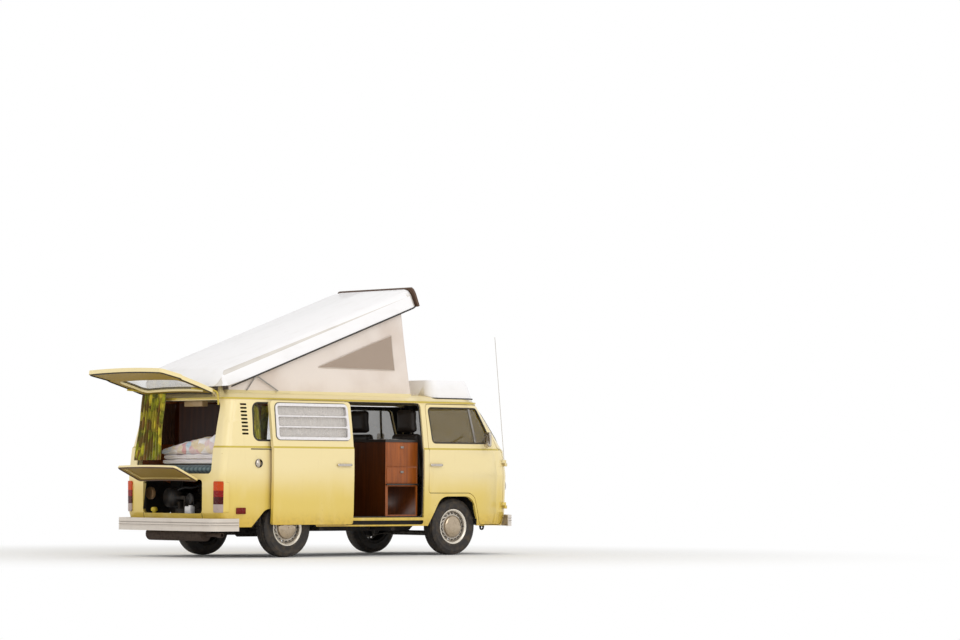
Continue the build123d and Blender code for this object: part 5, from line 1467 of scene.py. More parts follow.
@dataclass
class SlidingDoor:
    """The open sliding door with its louvred window, curtain and handle."""

    slide: Vector = field(default_factory=lambda: Vector((-1.069, -0.075, 0.0)))
    window: Outline = (
        (-372, 1272, 50), (656, 1272, 50), (640, 1668, 55), (-360, 1668, 55),
    )

    def build(self) -> None:
        """Dress the door and hang its curtain."""
        back = Matrix.Translation(-self.slide)
        door = merged_copy(
            "sliding_door_skin", ["sliding_door"], PAINT,
            [
                (CHROME, Zone(z=(0.95, 1.06), depth=below(-0.008), back=back)),
                # The belt ledge takes painted shade.
                (SHADOW_PAINT, Zone(z=BELT_LEDGE, depth=LEDGE_DEPTH, up=UPWARD, back=back)),
                (WOOD, Zone(depth=LINING_DEPTH, back=back)),
            ],
        )
        FORM.soften(door, Matrix.Translation(self.slide))
        merged_copy("louvre_frame_metal", ["louvre_frame"], WHITE_FRAME)
        coat("louvre_glass", LOUVRE_GLASS)
        coat("door_arms", DULL_METAL)
        seal = [point + self.slide for point in on_side(self.window, -1.0, -0.002)]
        tube("louvre_seal", seal, 0.008, SEAL)
        curtain = Curtain("door_curtain", PALE_CURTAIN, pleats=17, depth=0.006)
        low, high = self.skin(-0.345, 1.285), self.skin(-0.345, 1.655)
        far_low, far_high = self.skin(0.63, 1.285), self.skin(0.615, 1.655)
        curtain.hang((low, far_low), (high, far_high))

    def skin(self, x: float, z: float) -> Vector:
        """A point behind the open door's window."""
        return FORM.side(x, z, -1.0, -0.040) + self.slide


@dataclass
class Curtain:
    """A curtain on two rods, gathered in pleats."""

    name: str
    finish: Finish
    pleats: int = 6
    depth: float = 0.012
    pinch: float = 0.0
    body: str = "body"

    def hang(
        self, low: tuple[Vector, Vector], high: tuple[Vector, Vector]
    ) -> bpy.types.Object:
        """Hang the curtain.

        Args:
            low: its two lower corners.
            high: its two upper corners.

        Returns:
            The curtain.
        """
        across = (low[1] - low[0]).normalized()
        out = across.cross(Vector((0, 0, 1))).normalized()

        def place(u: float, v: float) -> Vector:
            """Lay a point of the cloth.

            Args:
                u: its share of the way across.
                v: its share of the way up.

            Returns:
                The point, on pleats that flatten at both rods.
            """
            wave = math.sin(2 * math.pi * self.pleats * u + 0.5 * math.sin(9 * u + 2 * v))
            wave += 0.35 * math.sin(4.1 * math.pi * self.pleats * u + 3 * v)
            ends = 0.55 + 0.45 * math.sin(math.pi * v)
            centre = 0.5 + (u - 0.5) * (1.0 - self.pinch * math.sin(math.pi * v) ** 2)
            base = low[0].lerp(low[1], centre).lerp(high[0].lerp(high[1], centre), v)
            return base + out * (wave * self.depth * ends)

        mesh = cloth_grid(self.pleats * 12, 18, place)
        piece = new_piece(self.name, mesh, [self.finish], self.body, angle=CLOTH_ANGLE)
        run = [place(step / CLOTH_STEPS, 0.5) for step in range(CLOTH_STEPS + 1)]
        width = sum((after - before).length for before, after in zip(run, run[1:]))
        return piece


@dataclass
class FrontDoors:
    """The two hinged front doors."""

    window: Outline = (
        (838, 1257, 45), (1718, 1257, 50), (1534, 1652, 60), (806, 1652, 45),
    )

    def build(self) -> None:
        """Dress both doors."""
        regions = [
            (CHROME, Zone(x=below(1.2), z=below(1.06), depth=below(-0.004))),
            (CHROME, Zone(x=below(1.70), z=above(1.15), depth=below(-0.004))),
            (DULL_METAL, self.in_vent_bar),
            # The belt ledge takes painted shade.
            (SHADOW_PAINT, Zone(z=BELT_LEDGE, up=UPWARD)),
            (DASH_VINYL, Zone(depth=LINING_DEPTH)),
        ]
        for name, side in SIDES:
            body, node = f"door_{name}", f"front_door_{name}"
            FORM.soften(merged_copy(f"{node}_skin", [node], PAINT, regions, body), Matrix())
            coat(f"front_door_glass_{name}", GLASS)
            line = on_side(self.window, side, GLAZING_DEPTH)
            tube(f"front_window_seal_{name}", line, 0.009, SEAL, body)

    @staticmethod
    def in_vent_bar(centre: Vector, _: Vector) -> bool:
        """Whether a face is in the bar between window and quarter light."""
        share = (1.661 - centre.z) / 0.408
        return 0.0 < share < 1.0 and abs(centre.x - (1.409 + 0.071 * share)) < 0.0145


@dataclass
class Tailgate:
    """The raised tailgate."""

    hinge: tuple[float, float] = (-1.972, 1.763)
    opened: float = 95.0
    window: Outline = (
        (-575, 1235, 80), (575, 1235, 80), (545, 1612, 80), (-545, 1612, 80),
    )
    rubber: Outline = (
        (-660, 924, 40), (660, 924, 40), (632, 1660, 80), (-632, 1660, 80),
    )
    arm: tuple[Point, ...] = ((-2.340, 0.585, 1.812), (-2.200, 0.585, 1.806), (-2.080, 0.585, 1.794))
    strap: tuple[Point, ...] = (
        (-2.078, 0.598, 1.796), (-2.050, 0.642, 1.790), (-2.038, 0.653, 1.740), (-2.032, 0.653, 1.640),
    )

    def build(self) -> None:
        """Dress the tailgate and fit its seals, catch and plate."""
        place = turn_about(self.hinge, self.opened)
        back = place.inverted()
        # The inner faces take painted shade.
        inner = Zone(depth=INNER_DEPTH, ahead=INWARD, back=back)
        plate = Zone(z=(0.96, 1.12), depth=below(-0.002), back=back)
        panel = merged_copy(
            "tailgate_skin", ["tailgate"], PAINT, [(GRP, plate), (GATE_INNER_SHADE, inner)], "tailgate",
            PANEL_ANGLE,
        )
        FORM.soften(panel, place)
        coat("tailgate_glass", CLEAR_GLASS)
        for name, outline, out, radius in (
            ("tailgate_glass_seal", self.window, GLAZING_DEPTH, 0.011),
            ("tailgate_rubber", self.rubber, -0.044, 0.009),
        ):
            line = [place @ point for point in on_end(outline, End.REAR, out)]
            tube(name, line, radius, SEAL, "tailgate")
        # Painted shade: the hinge arms and straps take the darker shadow paint.
        for name, side in SIDES:
            for label, body, points in (("arm", "tailgate", self.arm), ("strap", "body", self.strap)):
                bend = [Vector((x, side * y, z)) for x, y, z in points]
                tube(f"tailgate_{label}_{name}", bend, 0.010, SHADOW_PAINT, body, closed=False, smooth=True)
        catch = board((-2.150, -0.035, 0.920), (-2.124, 0.035, 0.946), 0.004)
        bmesh.ops.transform(catch, matrix=place, verts=catch.verts)
        new_piece("tailgate_catch", catch, [DULL_METAL], "tailgate")


@dataclass
class EngineLid:
    """The raised engine lid."""

    hinge: tuple[float, float] = (-2.170, 0.845)
    opened: float = 115.0
    outline: Outline = (
        (-515, 494, 30), (515, 494, 30), (515, 815, 30), (-515, 815, 30),
    )

    def build(self) -> None:
        """Dress the lid and fit its seal."""
        place = turn_about(self.hinge, self.opened)
        # The inner faces take painted shade.
        inner = Zone(depth=INNER_DEPTH, ahead=INWARD, back=place.inverted())
        lid = merged_copy(
            "engine_lid_skin", ["engine_lid"], PAINT, [(LID_INNER_SHADE, inner)], "engine_lid",
            PANEL_ANGLE,
        )
        FORM.soften(lid, place)
        line = [place @ point for point in on_end(self.outline, End.REAR, -0.022)]
        tube("engine_lid_rubber", line, 0.010, TRIM_RUBBER, "engine_lid")


@dataclass
class PopRoof:
    """The raised roof lid, its canvas, links and the luggage tray in front."""

    hinge: tuple[float, float] = (-1.955, 1.838)
    opened: float = -20.0
    base: float = 1.806
    rear: float = -1.880
    front: float = 0.699
    half: float = 0.630
    apex: tuple[float, float] = (0.552, 2.728)
    rear_top: float = 1.850
    corner: float = 0.06
    keep: float = 0.16
    net: Outline = ((-660, 2074, 6), (396, 2455, 6), (446, 2064, 6))
    net_flat: tuple[float, float] = (1.106, 0.391)
    rim: Outline = ((-2059, -690, 120), (920, -690, 120), (920, 690, 120), (-2059, 690, 120))
    tray_foot: Outline = ((950, -706, 60), (1606, -706, 130), (1606, 706, 130), (950, 706, 60))
    trim_half: Profile = (
        (0.690, -0.028), (0.684, 0.120), (0.668, 0.172), (0.640, 0.195),
    )

    def build(self) -> None:
        """Dress lid and tray, and sew the canvas."""
        place = turn_about(self.hinge, self.opened)
        back = place.inverted()
        inner = either(
            Zone(up=below(-0.3), back=back),
            Zone(z=below(1.99), beside=(0.0, 0.675), up=below(0.5), back=back),
        )
        merged_copy("roof_lid", ["pop_roof"], GRP, [(GRP_INNER, inner)], "roof")
        line = [place @ Vector((x, y, self.hinge[1] - 0.022)) for x, y in rounded(self.rim) if x > -1.90]
        split = max(range(len(line)), key=lambda i: (line[i] - line[i - 1]).length)
        line = line[split:] + line[:split]
        tube("roof_lid_seal", line, 0.009, SEAL, "roof", closed=False)
        self.front_trim(place)
        merged_copy("tray_skin", ["luggage_tray"], GRP)
        foot = [Vector((x, y, 1.762)) for x, y in rounded(self.tray_foot)]
        tube("tray_seal", foot, 0.007, SEAL)
        for node in ("roof_links_front", "roof_links_rear"):
            coat(node, DULL_METAL)
        self.canvas()

    def front_trim(self, place: Matrix) -> None:
        """Fit the brown trim round the lid's front edge, a little prouder than the lid, with its white end.

        Args:
            place: where the lid stands, from its closed place.
        """
        half = [(y, self.hinge[1] + z) for y, z in self.trim_half]
        outline = [(-y, z) for y, z in half] + half[::-1]
        mesh = bmesh.new()
        face = mesh.faces.new([mesh.verts.new((0.898, y, z)) for y, z in outline])
        made = bmesh.ops.extrude_face_region(mesh, geom=[face])["geom"]
        moved = [item for item in made if isinstance(item, bmesh.types.BMVert)]
        bmesh.ops.translate(mesh, verts=moved, vec=(0.027, 0, 0))
        bmesh.ops.recalc_face_normals(mesh, faces=mesh.faces)
        end = max(mesh.faces, key=lambda face: face.calc_center_median().x)
        bmesh.ops.inset_region(mesh, faces=[end], thickness=0.024, depth=-0.004, use_even_offset=True)
        end.material_index = 1
        bmesh.ops.transform(mesh, matrix=place, verts=mesh.verts)
        new_piece("roof_lid_front_trim", mesh, [TRIM_RUBBER, GRP], "roof")

    def share(self, x: float) -> float:
        """How far along the side wall's foot an x is, from 0 at the rear to 1 at the front."""
        return (x - self.rear) / (self.front - self.rear)

    def wall(self, x: float, v: float) -> tuple[float, float]:
        """Find a place of the side wall.

        Args:
            x: the x of the point of its foot below the place.
            v: the place's share of the wall's height.

        Returns:
            The place's x and z.
        """
        share = self.share(x)
        top_x = self.rear + share * (self.apex[0] - self.rear)
        top_z = self.rear_top + share * (self.apex[1] - self.rear_top)
        return x + (top_x - x) * v, self.base + (top_z - self.base) * v

    def slack(self, x: float, v: float) -> float:
        """Find how far the stretched side wall hangs in.

        Args:
            x: the place along the wall's foot.
            v: its share of the wall's height.

        Returns:
            The distance inwards.
        """
        ripple = noise.noise(Vector((x * 3.0, v * 2.0, 0.0))) * 0.006
        ripple += noise.noise(Vector((x * 11.0, v * 3.0, 5.0))) * 0.003
        belly = math.sin(math.pi * v)
        return (0.012 * belly + ripple) * belly**0.5 * min(1.0, self.share(x) * 2.5)

    def cloth_point(self, u: float, v: float) -> Vector:
        """Lay a point of the canvas.

        Args:
            u: its share of the way from one rear corner round the front to the other.
            v: its share of the way up.

        Returns:
            The point.
        """
        length, width, radius = self.front - self.rear, 2 * self.half, self.corner
        run = u * (2 * length + width)
        if run < length or run > length + width:
            side = -1.0 if run < length else 1.0
            along = run if run < length else 2 * length + width - run
            x, z = self.wall(self.rear + along, v)
            slack = self.slack(self.rear + along, v)
            near = max(0.0, along - (length - radius)) / radius
            return Vector((x, side * (self.half - slack - 0.010 * near**2), z))
        x, z = self.wall(self.front, v)
        share = (run - length) / width
        y = -self.half + run - length
        belly = math.sin(math.pi * share)
        slack = 0.014 + noise.noise(Vector((y * 4, v * 3, 9.0))) * 0.006
        slack *= math.sin(math.pi * v) * belly
        return Vector((x - slack, y * (1.0 - 0.016 * (1 - belly)), z))

    def canvas(self) -> None:
        """The canvas bellows with its net windows and taped edges."""
        mesh = cloth_grid(220, 22, self.cloth_point)
        bmesh.ops.reverse_faces(mesh, faces=mesh.faces)
        tent = new_piece("tent_canvas", mesh, [CANVAS], replaces=["tent"], angle=CLOTH_ANGLE)
        length, width = self.front - self.rear, 2 * self.half
        height = self.apex[1] - self.base
        area = length * (height + self.rear_top - self.base) + width * height
        2 * length + width
        soft = [tent]
        for name, side in SIDES:
            outline = rounded(self.net, 0.03)
            net = self.net_mesh(outline, side)
            window = new_piece(f"tent_net_{name}", net, [NETTING], angle=CLOTH_ANGLE)
            line = [self.laid(x, z, side, 0.006) for x, z in outline]
            soft += [window, tube(f"tent_tape_{name}", line, 0.005, TAPE)]
            seam = [self.cloth_point(u / 60 if side < 0 else 1 - u / 60, 0.985) for u in range(26)]
            soft.append(tube(f"tent_hem_{name}", seam, 0.005, TAPE, closed=False))
        for piece in soft:
            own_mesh(piece)

    def laid(self, x: float, z: float, side: float, out: float) -> Vector:
        """Lay a point on the canvas's side wall.

        Args:
            x: its x.
            z: its height.
            side: -1 for the right side, 1 for the left one.
            out: how far out from the cloth it lies.

        Returns:
            The point.
        """
        top = self.rear_top + self.share(x) * (self.apex[1] - self.rear_top)
        v = min(max((z - self.base) / (top - self.base), 0.0), 1.0)
        return Vector((x, side * (self.half - self.slack(x, v) + out), z))

    def net_mesh(self, outline: Sequence[tuple[float, float]], side: float) -> bmesh.types.BMesh:
        """Cut a net window and lay it on the canvas.

        Args:
            outline: its outline as x and z.
            side: -1 for the right side, 1 for the left one.

        Returns:
            The net, facing outwards.
        """
        net = bmesh.new()
        net.faces.new([net.verts.new((x, 0.0, z)) for x, z in outline])
        bmesh.ops.triangulate(net, faces=net.faces)
        for _ in range(4):
            long = [edge for edge in net.edges if edge.calc_length() > 0.05]
            bmesh.ops.subdivide_edges(net, edges=long, cuts=1)
            bmesh.ops.triangulate(net, faces=net.faces)
        bmesh.ops.beautify_fill(net, faces=net.faces, edges=net.edges)
        for vert in net.verts:
            vert.co = self.laid(vert.co.x, vert.co.z, side, 0.007)
        bmesh.ops.recalc_face_normals(net, faces=net.faces)
        if net.faces[:][0].normal.y * side < 0:
            bmesh.ops.reverse_faces(net, faces=net.faces)
        return net


def pad(
    name: str,
    low: Point,
    high: Point,
    finish: Finish,
    tilt: float = 0.0,
    about: tuple[float, float] = (0.0, 0.0),
    corner: float = 0.05,
    voxel: float = 0.013,
    pressure: float = 4.0,
    reach: float = 0.012,
    replaces: Sequence[str] = (),
) -> bpy.types.Object:
    """A stuffed pad swollen from a rounded block.

    Args:
        name: the piece's name.
        low: the block's lowest corner.
        high: its highest corner.
        finish: the cover.
        tilt: degrees that it leans back about a crosswise axis.
        about: the axis's x and z.
        corner: radius of its rounded edges.
        voxel: size of the remeshed faces.
        pressure: the filling's pressure.
        reach: the furthest that it swells.
        replaces: the CAD nodes that it stands for.

    Returns:
        The pad.
    """
    mesh = board(low, high, corner)
    bmesh.ops.transform(mesh, matrix=turn_about(about, tilt), verts=mesh.verts)
    piece = new_piece(name, mesh, [finish], replaces=replaces, angle=CLOTH_ANGLE)
    stuffed(piece, voxel, pressure, reach)
    return piece


@dataclass
class Cabin:
    """What is inside: seats, bed, kitchen, dashboard and curtains."""

    bed_top: float = 0.9983
    seat_y: float = 0.420
    door_heights: tuple[Limits, ...] = ((0.999, 1.250), (0.806, 0.978))
    pull_heights: tuple[float, ...] = (0.93, 1.205)
    burner: Profile = ((0.055, 0.0), (0.055, 0.006), (0.047, 0.006), (0.047, 0.0))
    blanket_start: float = -0.600
    curtain_heights: Limits = (1.225, 1.672)
    curtain_depth: float = -0.066

    def build(self) -> None:
        """Build the cabin from front to back."""
        self.cab()
        self.kitchen()
        self.bed()
        self.curtains()

    def cab(self) -> None:
        """Dashboard, wheel and padded seats."""
        coat("dashboard", DASH_VINYL)
        coat("steering_wheel", BLACK_PLASTIC)
        for name, side in SIDES:
            y = side * self.seat_y
            shapes = (
                ("cushion", (0.935, 0.775), (1.385, 0.868), 0.225, 2.0, (1.0, 0.8), 0.030),
                ("back", (0.830, 0.870), (0.920, 1.385), 0.225, -9.0, (0.95, 0.86), 0.034),
                ("headrest", (0.768, 1.375), (0.850, 1.632), 0.150, -3.0, (0.80, 1.45), 0.036),
            )
            for label, low, high, half, tilt, about, corner in shapes:
                replaced = ("front_seats",) if (label, name) == ("cushion", "right") else ()
                pad(
                    f"seat_{label}_{name}", (low[0], y - half, low[1]), (high[0], y + half, high[1]),
                    SEAT_VINYL, tilt, about, corner, voxel=0.012, pressure=3.0, reach=0.008,
                    replaces=replaced,
                )
            frame = board((0.885, y - 0.20, 0.770), (1.36, y + 0.20, 0.790), 0.004)
            new_piece(f"seat_frame_{name}", frame, [BLACK_TIN])

    def kitchen(self) -> None:
        """Kitchen unit and bench in laminate, with doors, pulls, a ledge and a steel hob."""
        top = Zone(x=above(0.2), z=above(1.262))
        # Painted shade: the recess under the kitchen, the faces turned to the rear and the far cupboard
        # take the darker laminate.
        shelf = Zone(x=(0.25, 0.68), y=(-0.744, -0.3), z=(0.43, 0.78))
        rear_side = Zone(x=above(0.2), ahead=below(-0.7))
        cupboard = Zone(x=(-1.60, -0.70), y=(0.65, 0.74), z=(0.89, 1.69))
        dark = [(SHADED_WOOD, zone) for zone in (shelf, rear_side, cupboard)]
        merged_copy("furniture_boards", ["furniture"], WOOD, [(COUNTER, top), *dark])
        doors = bmesh.new()
        for bottom, height in self.door_heights:
            board((0.243, -0.7485, bottom), (0.672, -0.7450, height), 0.0015, doors)
        new_piece("kitchen_doors", doors, [WOOD])
        pulls = bmesh.new()
        for z in self.pull_heights:
            board((0.435, -0.760, z - 0.012), (0.479, -0.7486, z + 0.012), 0.003, pulls)
        new_piece("kitchen_pulls", pulls, [DULL_METAL])
        ledge = board((0.230, -0.770, 0.784), (0.688, -0.7452, 0.800), 0.003)
        new_piece("kitchen_ledge", ledge, [COUNTER])
        hob = board((0.30, -0.66, 1.2902), (0.62, -0.36, 1.2940), 0.0012)
        for x in (0.38, 0.54):
            ring = turned_part(self.burner, 28, Matrix.Translation((x, -0.51, 1.2936)))
            data = bpy.data.meshes.new("ring")
            ring.to_mesh(data)
            ring.free()
            hob.from_mesh(data)
            bpy.data.meshes.remove(data)
        new_piece("kitchen_hob", hob, [DULL_METAL])

    def bed(self) -> None:
        """Mattress in its ticking, the folded blankets and the quilt on them, and the ceiling light."""
        pad(
            "bed_mattress", (-2.066, -0.640, 0.902), (-0.457, 0.640, 0.990), CHECKED, corner=0.035,
            voxel=0.022, pressure=2.0, reach=0.006, replaces=["mattress"],
        )
        self.blanket("blanket_low", SHEETING, 0.004, (0.056, 0.060), 0.405, 1.0)
        self.blanket("blanket_high", SHEETING, 0.056, (0.054, 0.062), 0.375, 4.0)
        self.blanket("quilt", QUILT, 0.108, (0.050, 0.220), 0.420, 8.0)
        light = board((-1.930, -0.227, 1.630), (-1.850, 0.098, 1.730), 0.006)
        new_piece("ceiling_light", light, [CEILING_BOX])

    def blanket(
        self, name: str, finish: Finish, base: float, thick: tuple[float, float], end: float, seed: float
    ) -> None:
        """One folded blanket, as a soft slab with a crease along its rounded edge.

        Args:
            name: the piece's name.
            finish: its cloth.
            base: its height over the bed.
            thick: its thickness at the left end and at the right one.
            end: the left end's y.
            seed: the lumps' place in the noise.
        """

        def place(u: float, v: float) -> Vector:
            """Lay a point of the slab.

            Args:
                u: its share of the way round the section.
                v: its share of the way across the van, from the right.

            Returns:
                The point.
            """
            turn = 2 * math.pi * u
            full = math.sqrt(1.0 - max(0.0, 1.0 - min(v, 1.0 - v) / 0.07) ** 2)
            high = thick[0] + (thick[1] - thick[0]) * (1.0 - v) ** 0.75
            flat, tall = math.cos(turn), math.sin(turn)
            crease = 0.010 * math.exp(-((tall / 0.16) ** 2)) * (flat < 0)
            x = -1.812 + (0.212 * full**0.2 - crease) * math.copysign(abs(flat) ** 0.30, flat)
            y = self.blanket_start + (end - self.blanket_start) * v
            rise = high / 2 * (1.0 + math.copysign(abs(tall) ** 0.75, tall) * full)
            lump = noise.noise(Vector((x * 5.0, y * 6.0, seed))) * 0.012
            lump += noise.noise(Vector((x * 14, y * 15, seed))) * 0.005
            lift = max(tall, 0.0) * lump * (1.0 + 14.0 * max(high - 0.06, 0.0))
            x += noise.noise(Vector((seed, y * 7.0, rise * 9.0))) * 0.014
            return Vector((x, y, self.bed_top + base + rise + lift))

        mesh = cloth_grid(72, 64, place, closed=True)
        bmesh.ops.recalc_face_normals(mesh, faces=mesh.faces)
        piece = new_piece(name, mesh, [finish], angle=CLOTH_ANGLE)

    def curtains(self) -> None:
        """The gathered curtains beside the tailgate and the side windows."""
        wide = Curtain("rear_curtain_left", LEAVES, 9, 0.016, 0.12, "tailgate").hang(
            (Vector((-2.196, 0.646, 1.044)), Vector((-2.190, 0.166, 1.050))),
            (Vector((-2.095, 0.636, 1.772)), Vector((-2.095, 0.215, 1.772))),
        )
        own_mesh(wide)
        Curtain("rear_curtain_right", LEAVES, 4, 0.012, 0.25).hang(
            (Vector((-1.985, -0.645, 1.330)), Vector((-1.890, -0.645, 1.330))),
            (Vector((-1.925, -0.645, 1.640)), Vector((-1.840, -0.645, 1.640))),
        )
        places = (
            (-1.0, (-1.690, -1.540), (-1.690, -1.540), LEAVES),
            # The brown curtain at the rear left quarter window is partly painted shade.
            (1.0, (-1.780, -1.535), (-1.780, -1.592), BROWN_SHADE_CURTAIN),
            (1.0, (-0.710, -0.590), (-0.710, -0.590), LEAVES),
            (1.0, (-0.390, -0.270), (-0.390, -0.270), LEAVES),
            (1.0, (0.530, 0.650), (0.530, 0.650), LEAVES),
        )
        bottom, top = self.curtain_heights
        for number, (side, low_ends, high_ends, cloth) in enumerate(places):
            low = tuple(FORM.side(x, bottom, side, self.curtain_depth) for x in low_ends)
            high = tuple(FORM.side(x, top, side, self.curtain_depth) for x in high_ends)
            carrier = "left_side" if side > 0 else "right_side"
            piece = Curtain(f"side_curtain_{number}", cloth, 4 + number % 2, 0.011).hang(low, high)
            if number == 0:
                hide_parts("curtains")


@dataclass
class EngineBay:
    """Engine, exhaust and battery, with the small parts that show in the open bay."""

    belt_x: float = -1.914
    hoses: tuple[tuple[Point, ...], ...] = (
        ((-1.90, 0.24, 0.72), (-1.88, 0.16, 0.76), (-1.80, 0.06, 0.74), (-1.70, 0.02, 0.80)),
        ((-1.86, -0.20, 0.47), (-1.90, -0.28, 0.56), (-1.86, -0.40, 0.62), (-1.78, -0.46, 0.60)),
    )
    drum: Profile = (
        (0.0001, 0.0), (0.060, 0.0), (0.068, 0.008), (0.068, 0.040), (0.0001, 0.040),
    )
    filler: Profile = (
        (0.0001, 0.0), (0.022, 0.0), (0.022, 0.055), (0.036, 0.055), (0.038, 0.070), (0.030, 0.094),
        (0.0001, 0.098),
    )

    def build(self) -> None:
        """Dress the engine bay."""
        cleaner = Zone(x=below(-1.785), y=above(0.21), z=above(0.53))
        fan = Zone(x=(-1.72, -1.585), z=above(0.47))
        pulley = Zone(x=below(-1.9), beside=(0.0, 0.09))
        tin = [(BLACK_TIN, zone) for zone in (cleaner, fan, pulley)]
        merged_copy("engine_block", ["engine"], ENGINE_GRIME, tin)
        coat("battery", BLACK_PLASTIC)
        coat("exhaust", RUST)
        belt = self.belt_arc(0.066, 0.620, -100, 100) + self.belt_arc(0.089, 0.400, 100, 260)
        tube("fan_belt", belt, 0.005, BLACK_PLASTIC)
        for number, points in enumerate(self.hoses):
            line = [Vector(point) for point in points]
            tube(
                f"engine_hose_{number}", line, 0.014, BLACK_PLASTIC, closed=False,
                smooth=True,
            )
        tank = board((-2.030, -0.165, 0.470), (-1.970, -0.055, 0.548), 0.008)
        board((-2.020, -0.150, 0.540), (-1.980, -0.110, 0.560), 0.006, tank)
        new_piece("white_tank", tank, [GRP])
        drum = turned_part(self.drum, 36, turned((-2.0, 0.640, 0.688), 90.0, "Y"))
        new_piece("air_drum", drum, [AIR_CLEANER])
        filler = turned_part(self.filler, 28, Matrix.Translation((-2.078, 0.430, 0.440)))
        new_piece("oil_filler", filler, [YELLOW_CAP])

    def belt_arc(self, radius: float, height: float, first: int, last: int) -> list[Vector]:
        """Lay the belt round one pulley.

        Args:
            radius: the belt's radius there.
            height: the pulley's height.
            first: degrees from upright where it begins.
            last: degrees where it ends.

        Returns:
            The arc's points, 20 degrees apart.
        """
        turns = (math.radians(step) for step in range(first, last + 1, 20))
        return [Vector((self.belt_x, math.sin(a) * radius, height + math.cos(a) * radius)) for a in turns]


@dataclass
class RunningGear:
    """Wheels, tyres, axles and frame."""

    radius: float = 0.320
    hub_cap: float = 0.1205
    slots: int = 20
    sides: int = 90
    places: tuple[tuple[str, float, float, float], ...] = (
        ("front_right", 1.2, -1.0, 1.395), ("front_left", 1.2, 1.0, 1.395),
        ("rear_right", -1.2, -1.0, 1.455), ("rear_left", -1.2, 1.0, 1.455),
    )
    tyre_half: Profile = (
        (0.1792, 0.060), (0.1830, 0.070), (0.1965, 0.0765), (0.2010, 0.0800), (0.2130, 0.0868),
        (0.2150, 0.0886), (0.2180, 0.0886), (0.2200, 0.0878), (0.2480, 0.0905), (0.2700, 0.0892),
        (0.2720, 0.0900), (0.2750, 0.0900), (0.2770, 0.0880), (0.2950, 0.0820), (0.3080, 0.0740),
        (0.3130, 0.0690), (0.3150, 0.0560), (0.3085, 0.0550), (0.3085, 0.0510), (0.3165, 0.0500),
        (0.3185, 0.0270), (0.3115, 0.0262), (0.3115, 0.0222), (0.3190, 0.0214), (0.3198, 0.0),
    )
    shoulder: Limits = (0.3120, 0.3170)
    tread_half: float = 0.056
    valve: Profile = ((0.0001, 0.0), (0.0045, 0.0), (0.004, 0.030), (0.0001, 0.031))

    def build(self) -> None:
        """Dress all that is under the van."""
        for name, x, side, track in self.places:
            hub = Vector((x, side * track / 2, self.radius))
            self.wheel(name, hub, side)
            self.tyre(name, hub, side)
        for node in ("front_axle", "knuckle_right", "knuckle_left", "rear_axle"):
            coat(node, CAST)
        coat("underframe", UNDERSEAL)
        mat = Zone(depth=above(0.03), up=above(0.5))
        merged_copy("floor_boards", ["floor"], UNDERSEAL, [(FLOORING, mat)])

    @staticmethod
    def ring(hub: Vector, side: float, span: Limits, out: Limits) -> FaceTest:
        """Test for a ring of a wheel's faces.

        Args:
            hub: the wheel's middle.
            side: -1 for the right side, 1 for the left one.
            span: limits of the distance from the axle.
            out: limits of the distance outwards from the wheel's middle.

        Returns:
            The test.
        """
        return lambda centre, _: (
            span[0] <= math.hypot(centre.x - hub.x, centre.z - hub.z) <= span[1]
            and out[0] <= (centre.y - hub.y) * side <= out[1]
        )

    def wheel(self, name: str, hub: Vector, side: float) -> None:
        """Finish one wheel by its rings, with painted shade darkening the slots round its cap.

        Args:
            name: the wheel's place in words.
            hub: its middle.
            side: -1 for the right side, 1 for the left one.
        """
        body = f"wheel_{name}"
        regions = [
            # The hub cap's chrome is partly painted reflection.
            (HUB_CHROME_REFLECTION, self.ring(hub, side, (0.0, self.hub_cap), (0.0555, 0.2))),
            (TRIM_RING, self.ring(hub, side, (0.166, 0.21), (0.055, 0.2))),
            # Painted shade: the wheel's back is black, so that the slots look dark.
            (BLACK_TIN, self.ring(hub, side, (0.0, 0.21), (-0.2, 0.021))),
        ]
        merged_copy(f"{body}_steel", [body], WHEEL_SILVER, regions, body, 24.0)
        # Painted shade: black discs in the slots.
        slots = bmesh.new()
        for number in range(self.slots):
            around = turned(hub, 360.0 / self.slots * number, "Y")
            tilted = turned((0.0, side * 0.0552, 0.144), -24.0 * side, "X")
            place = around @ tilted @ Matrix.Diagonal((1.0, 1.0, 0.72, 1.0))
            bmesh.ops.create_cone(
                slots, cap_ends=True, segments=16, radius1=0.0125, radius2=0.0125, depth=0.003,
                matrix=place @ Matrix.Rotation(math.radians(90.0), 4, "X"),
            )
        new_piece(f"{body}_slots", slots, [BLACK_PLASTIC], body)

    def tyre(self, name: str, hub: Vector, side: float) -> None:
        """Build a tyre with grooved tread, notched shoulders, rings on its walls and a valve.

        Args:
            name: the wheel's place in words.
            hub: its middle.
            side: -1 for the right side, 1 for the left one.
        """
        body = f"wheel_{name}"
        profile = [*self.tyre_half, *((radius, -out) for radius, out in self.tyre_half[-2::-1])]
        mesh = turned_part(profile, self.sides, turned(hub, -90.0 * side, "X"))
        spots = {face: face.calc_center_median() - hub for face in mesh.faces}
        low, high = self.shoulder
        notched = [
            face for face, spot in spots.items()
            if low < math.hypot(spot.x, spot.z) < high and abs(spot.y) > self.tread_half
            and int((math.atan2(spot.z, spot.x) / (2 * math.pi) + 0.5) * self.sides) % 2 == 0
        ]
        bmesh.ops.inset_individual(mesh, faces=notched, thickness=0.0015, depth=-0.005)
        new_piece(f"tyre_{name}_rubber", mesh, [TYRE_RUBBER], body, [f"tyre_{name}"], 30.0)
        foot = hub + Vector((0.160, side * 0.040, 0.0))
        valve = turned_part(self.valve, 12, turned(foot, -90.0 * side, "X"))
        new_piece(f"valve_{name}", valve, [BLACK_PLASTIC], body)


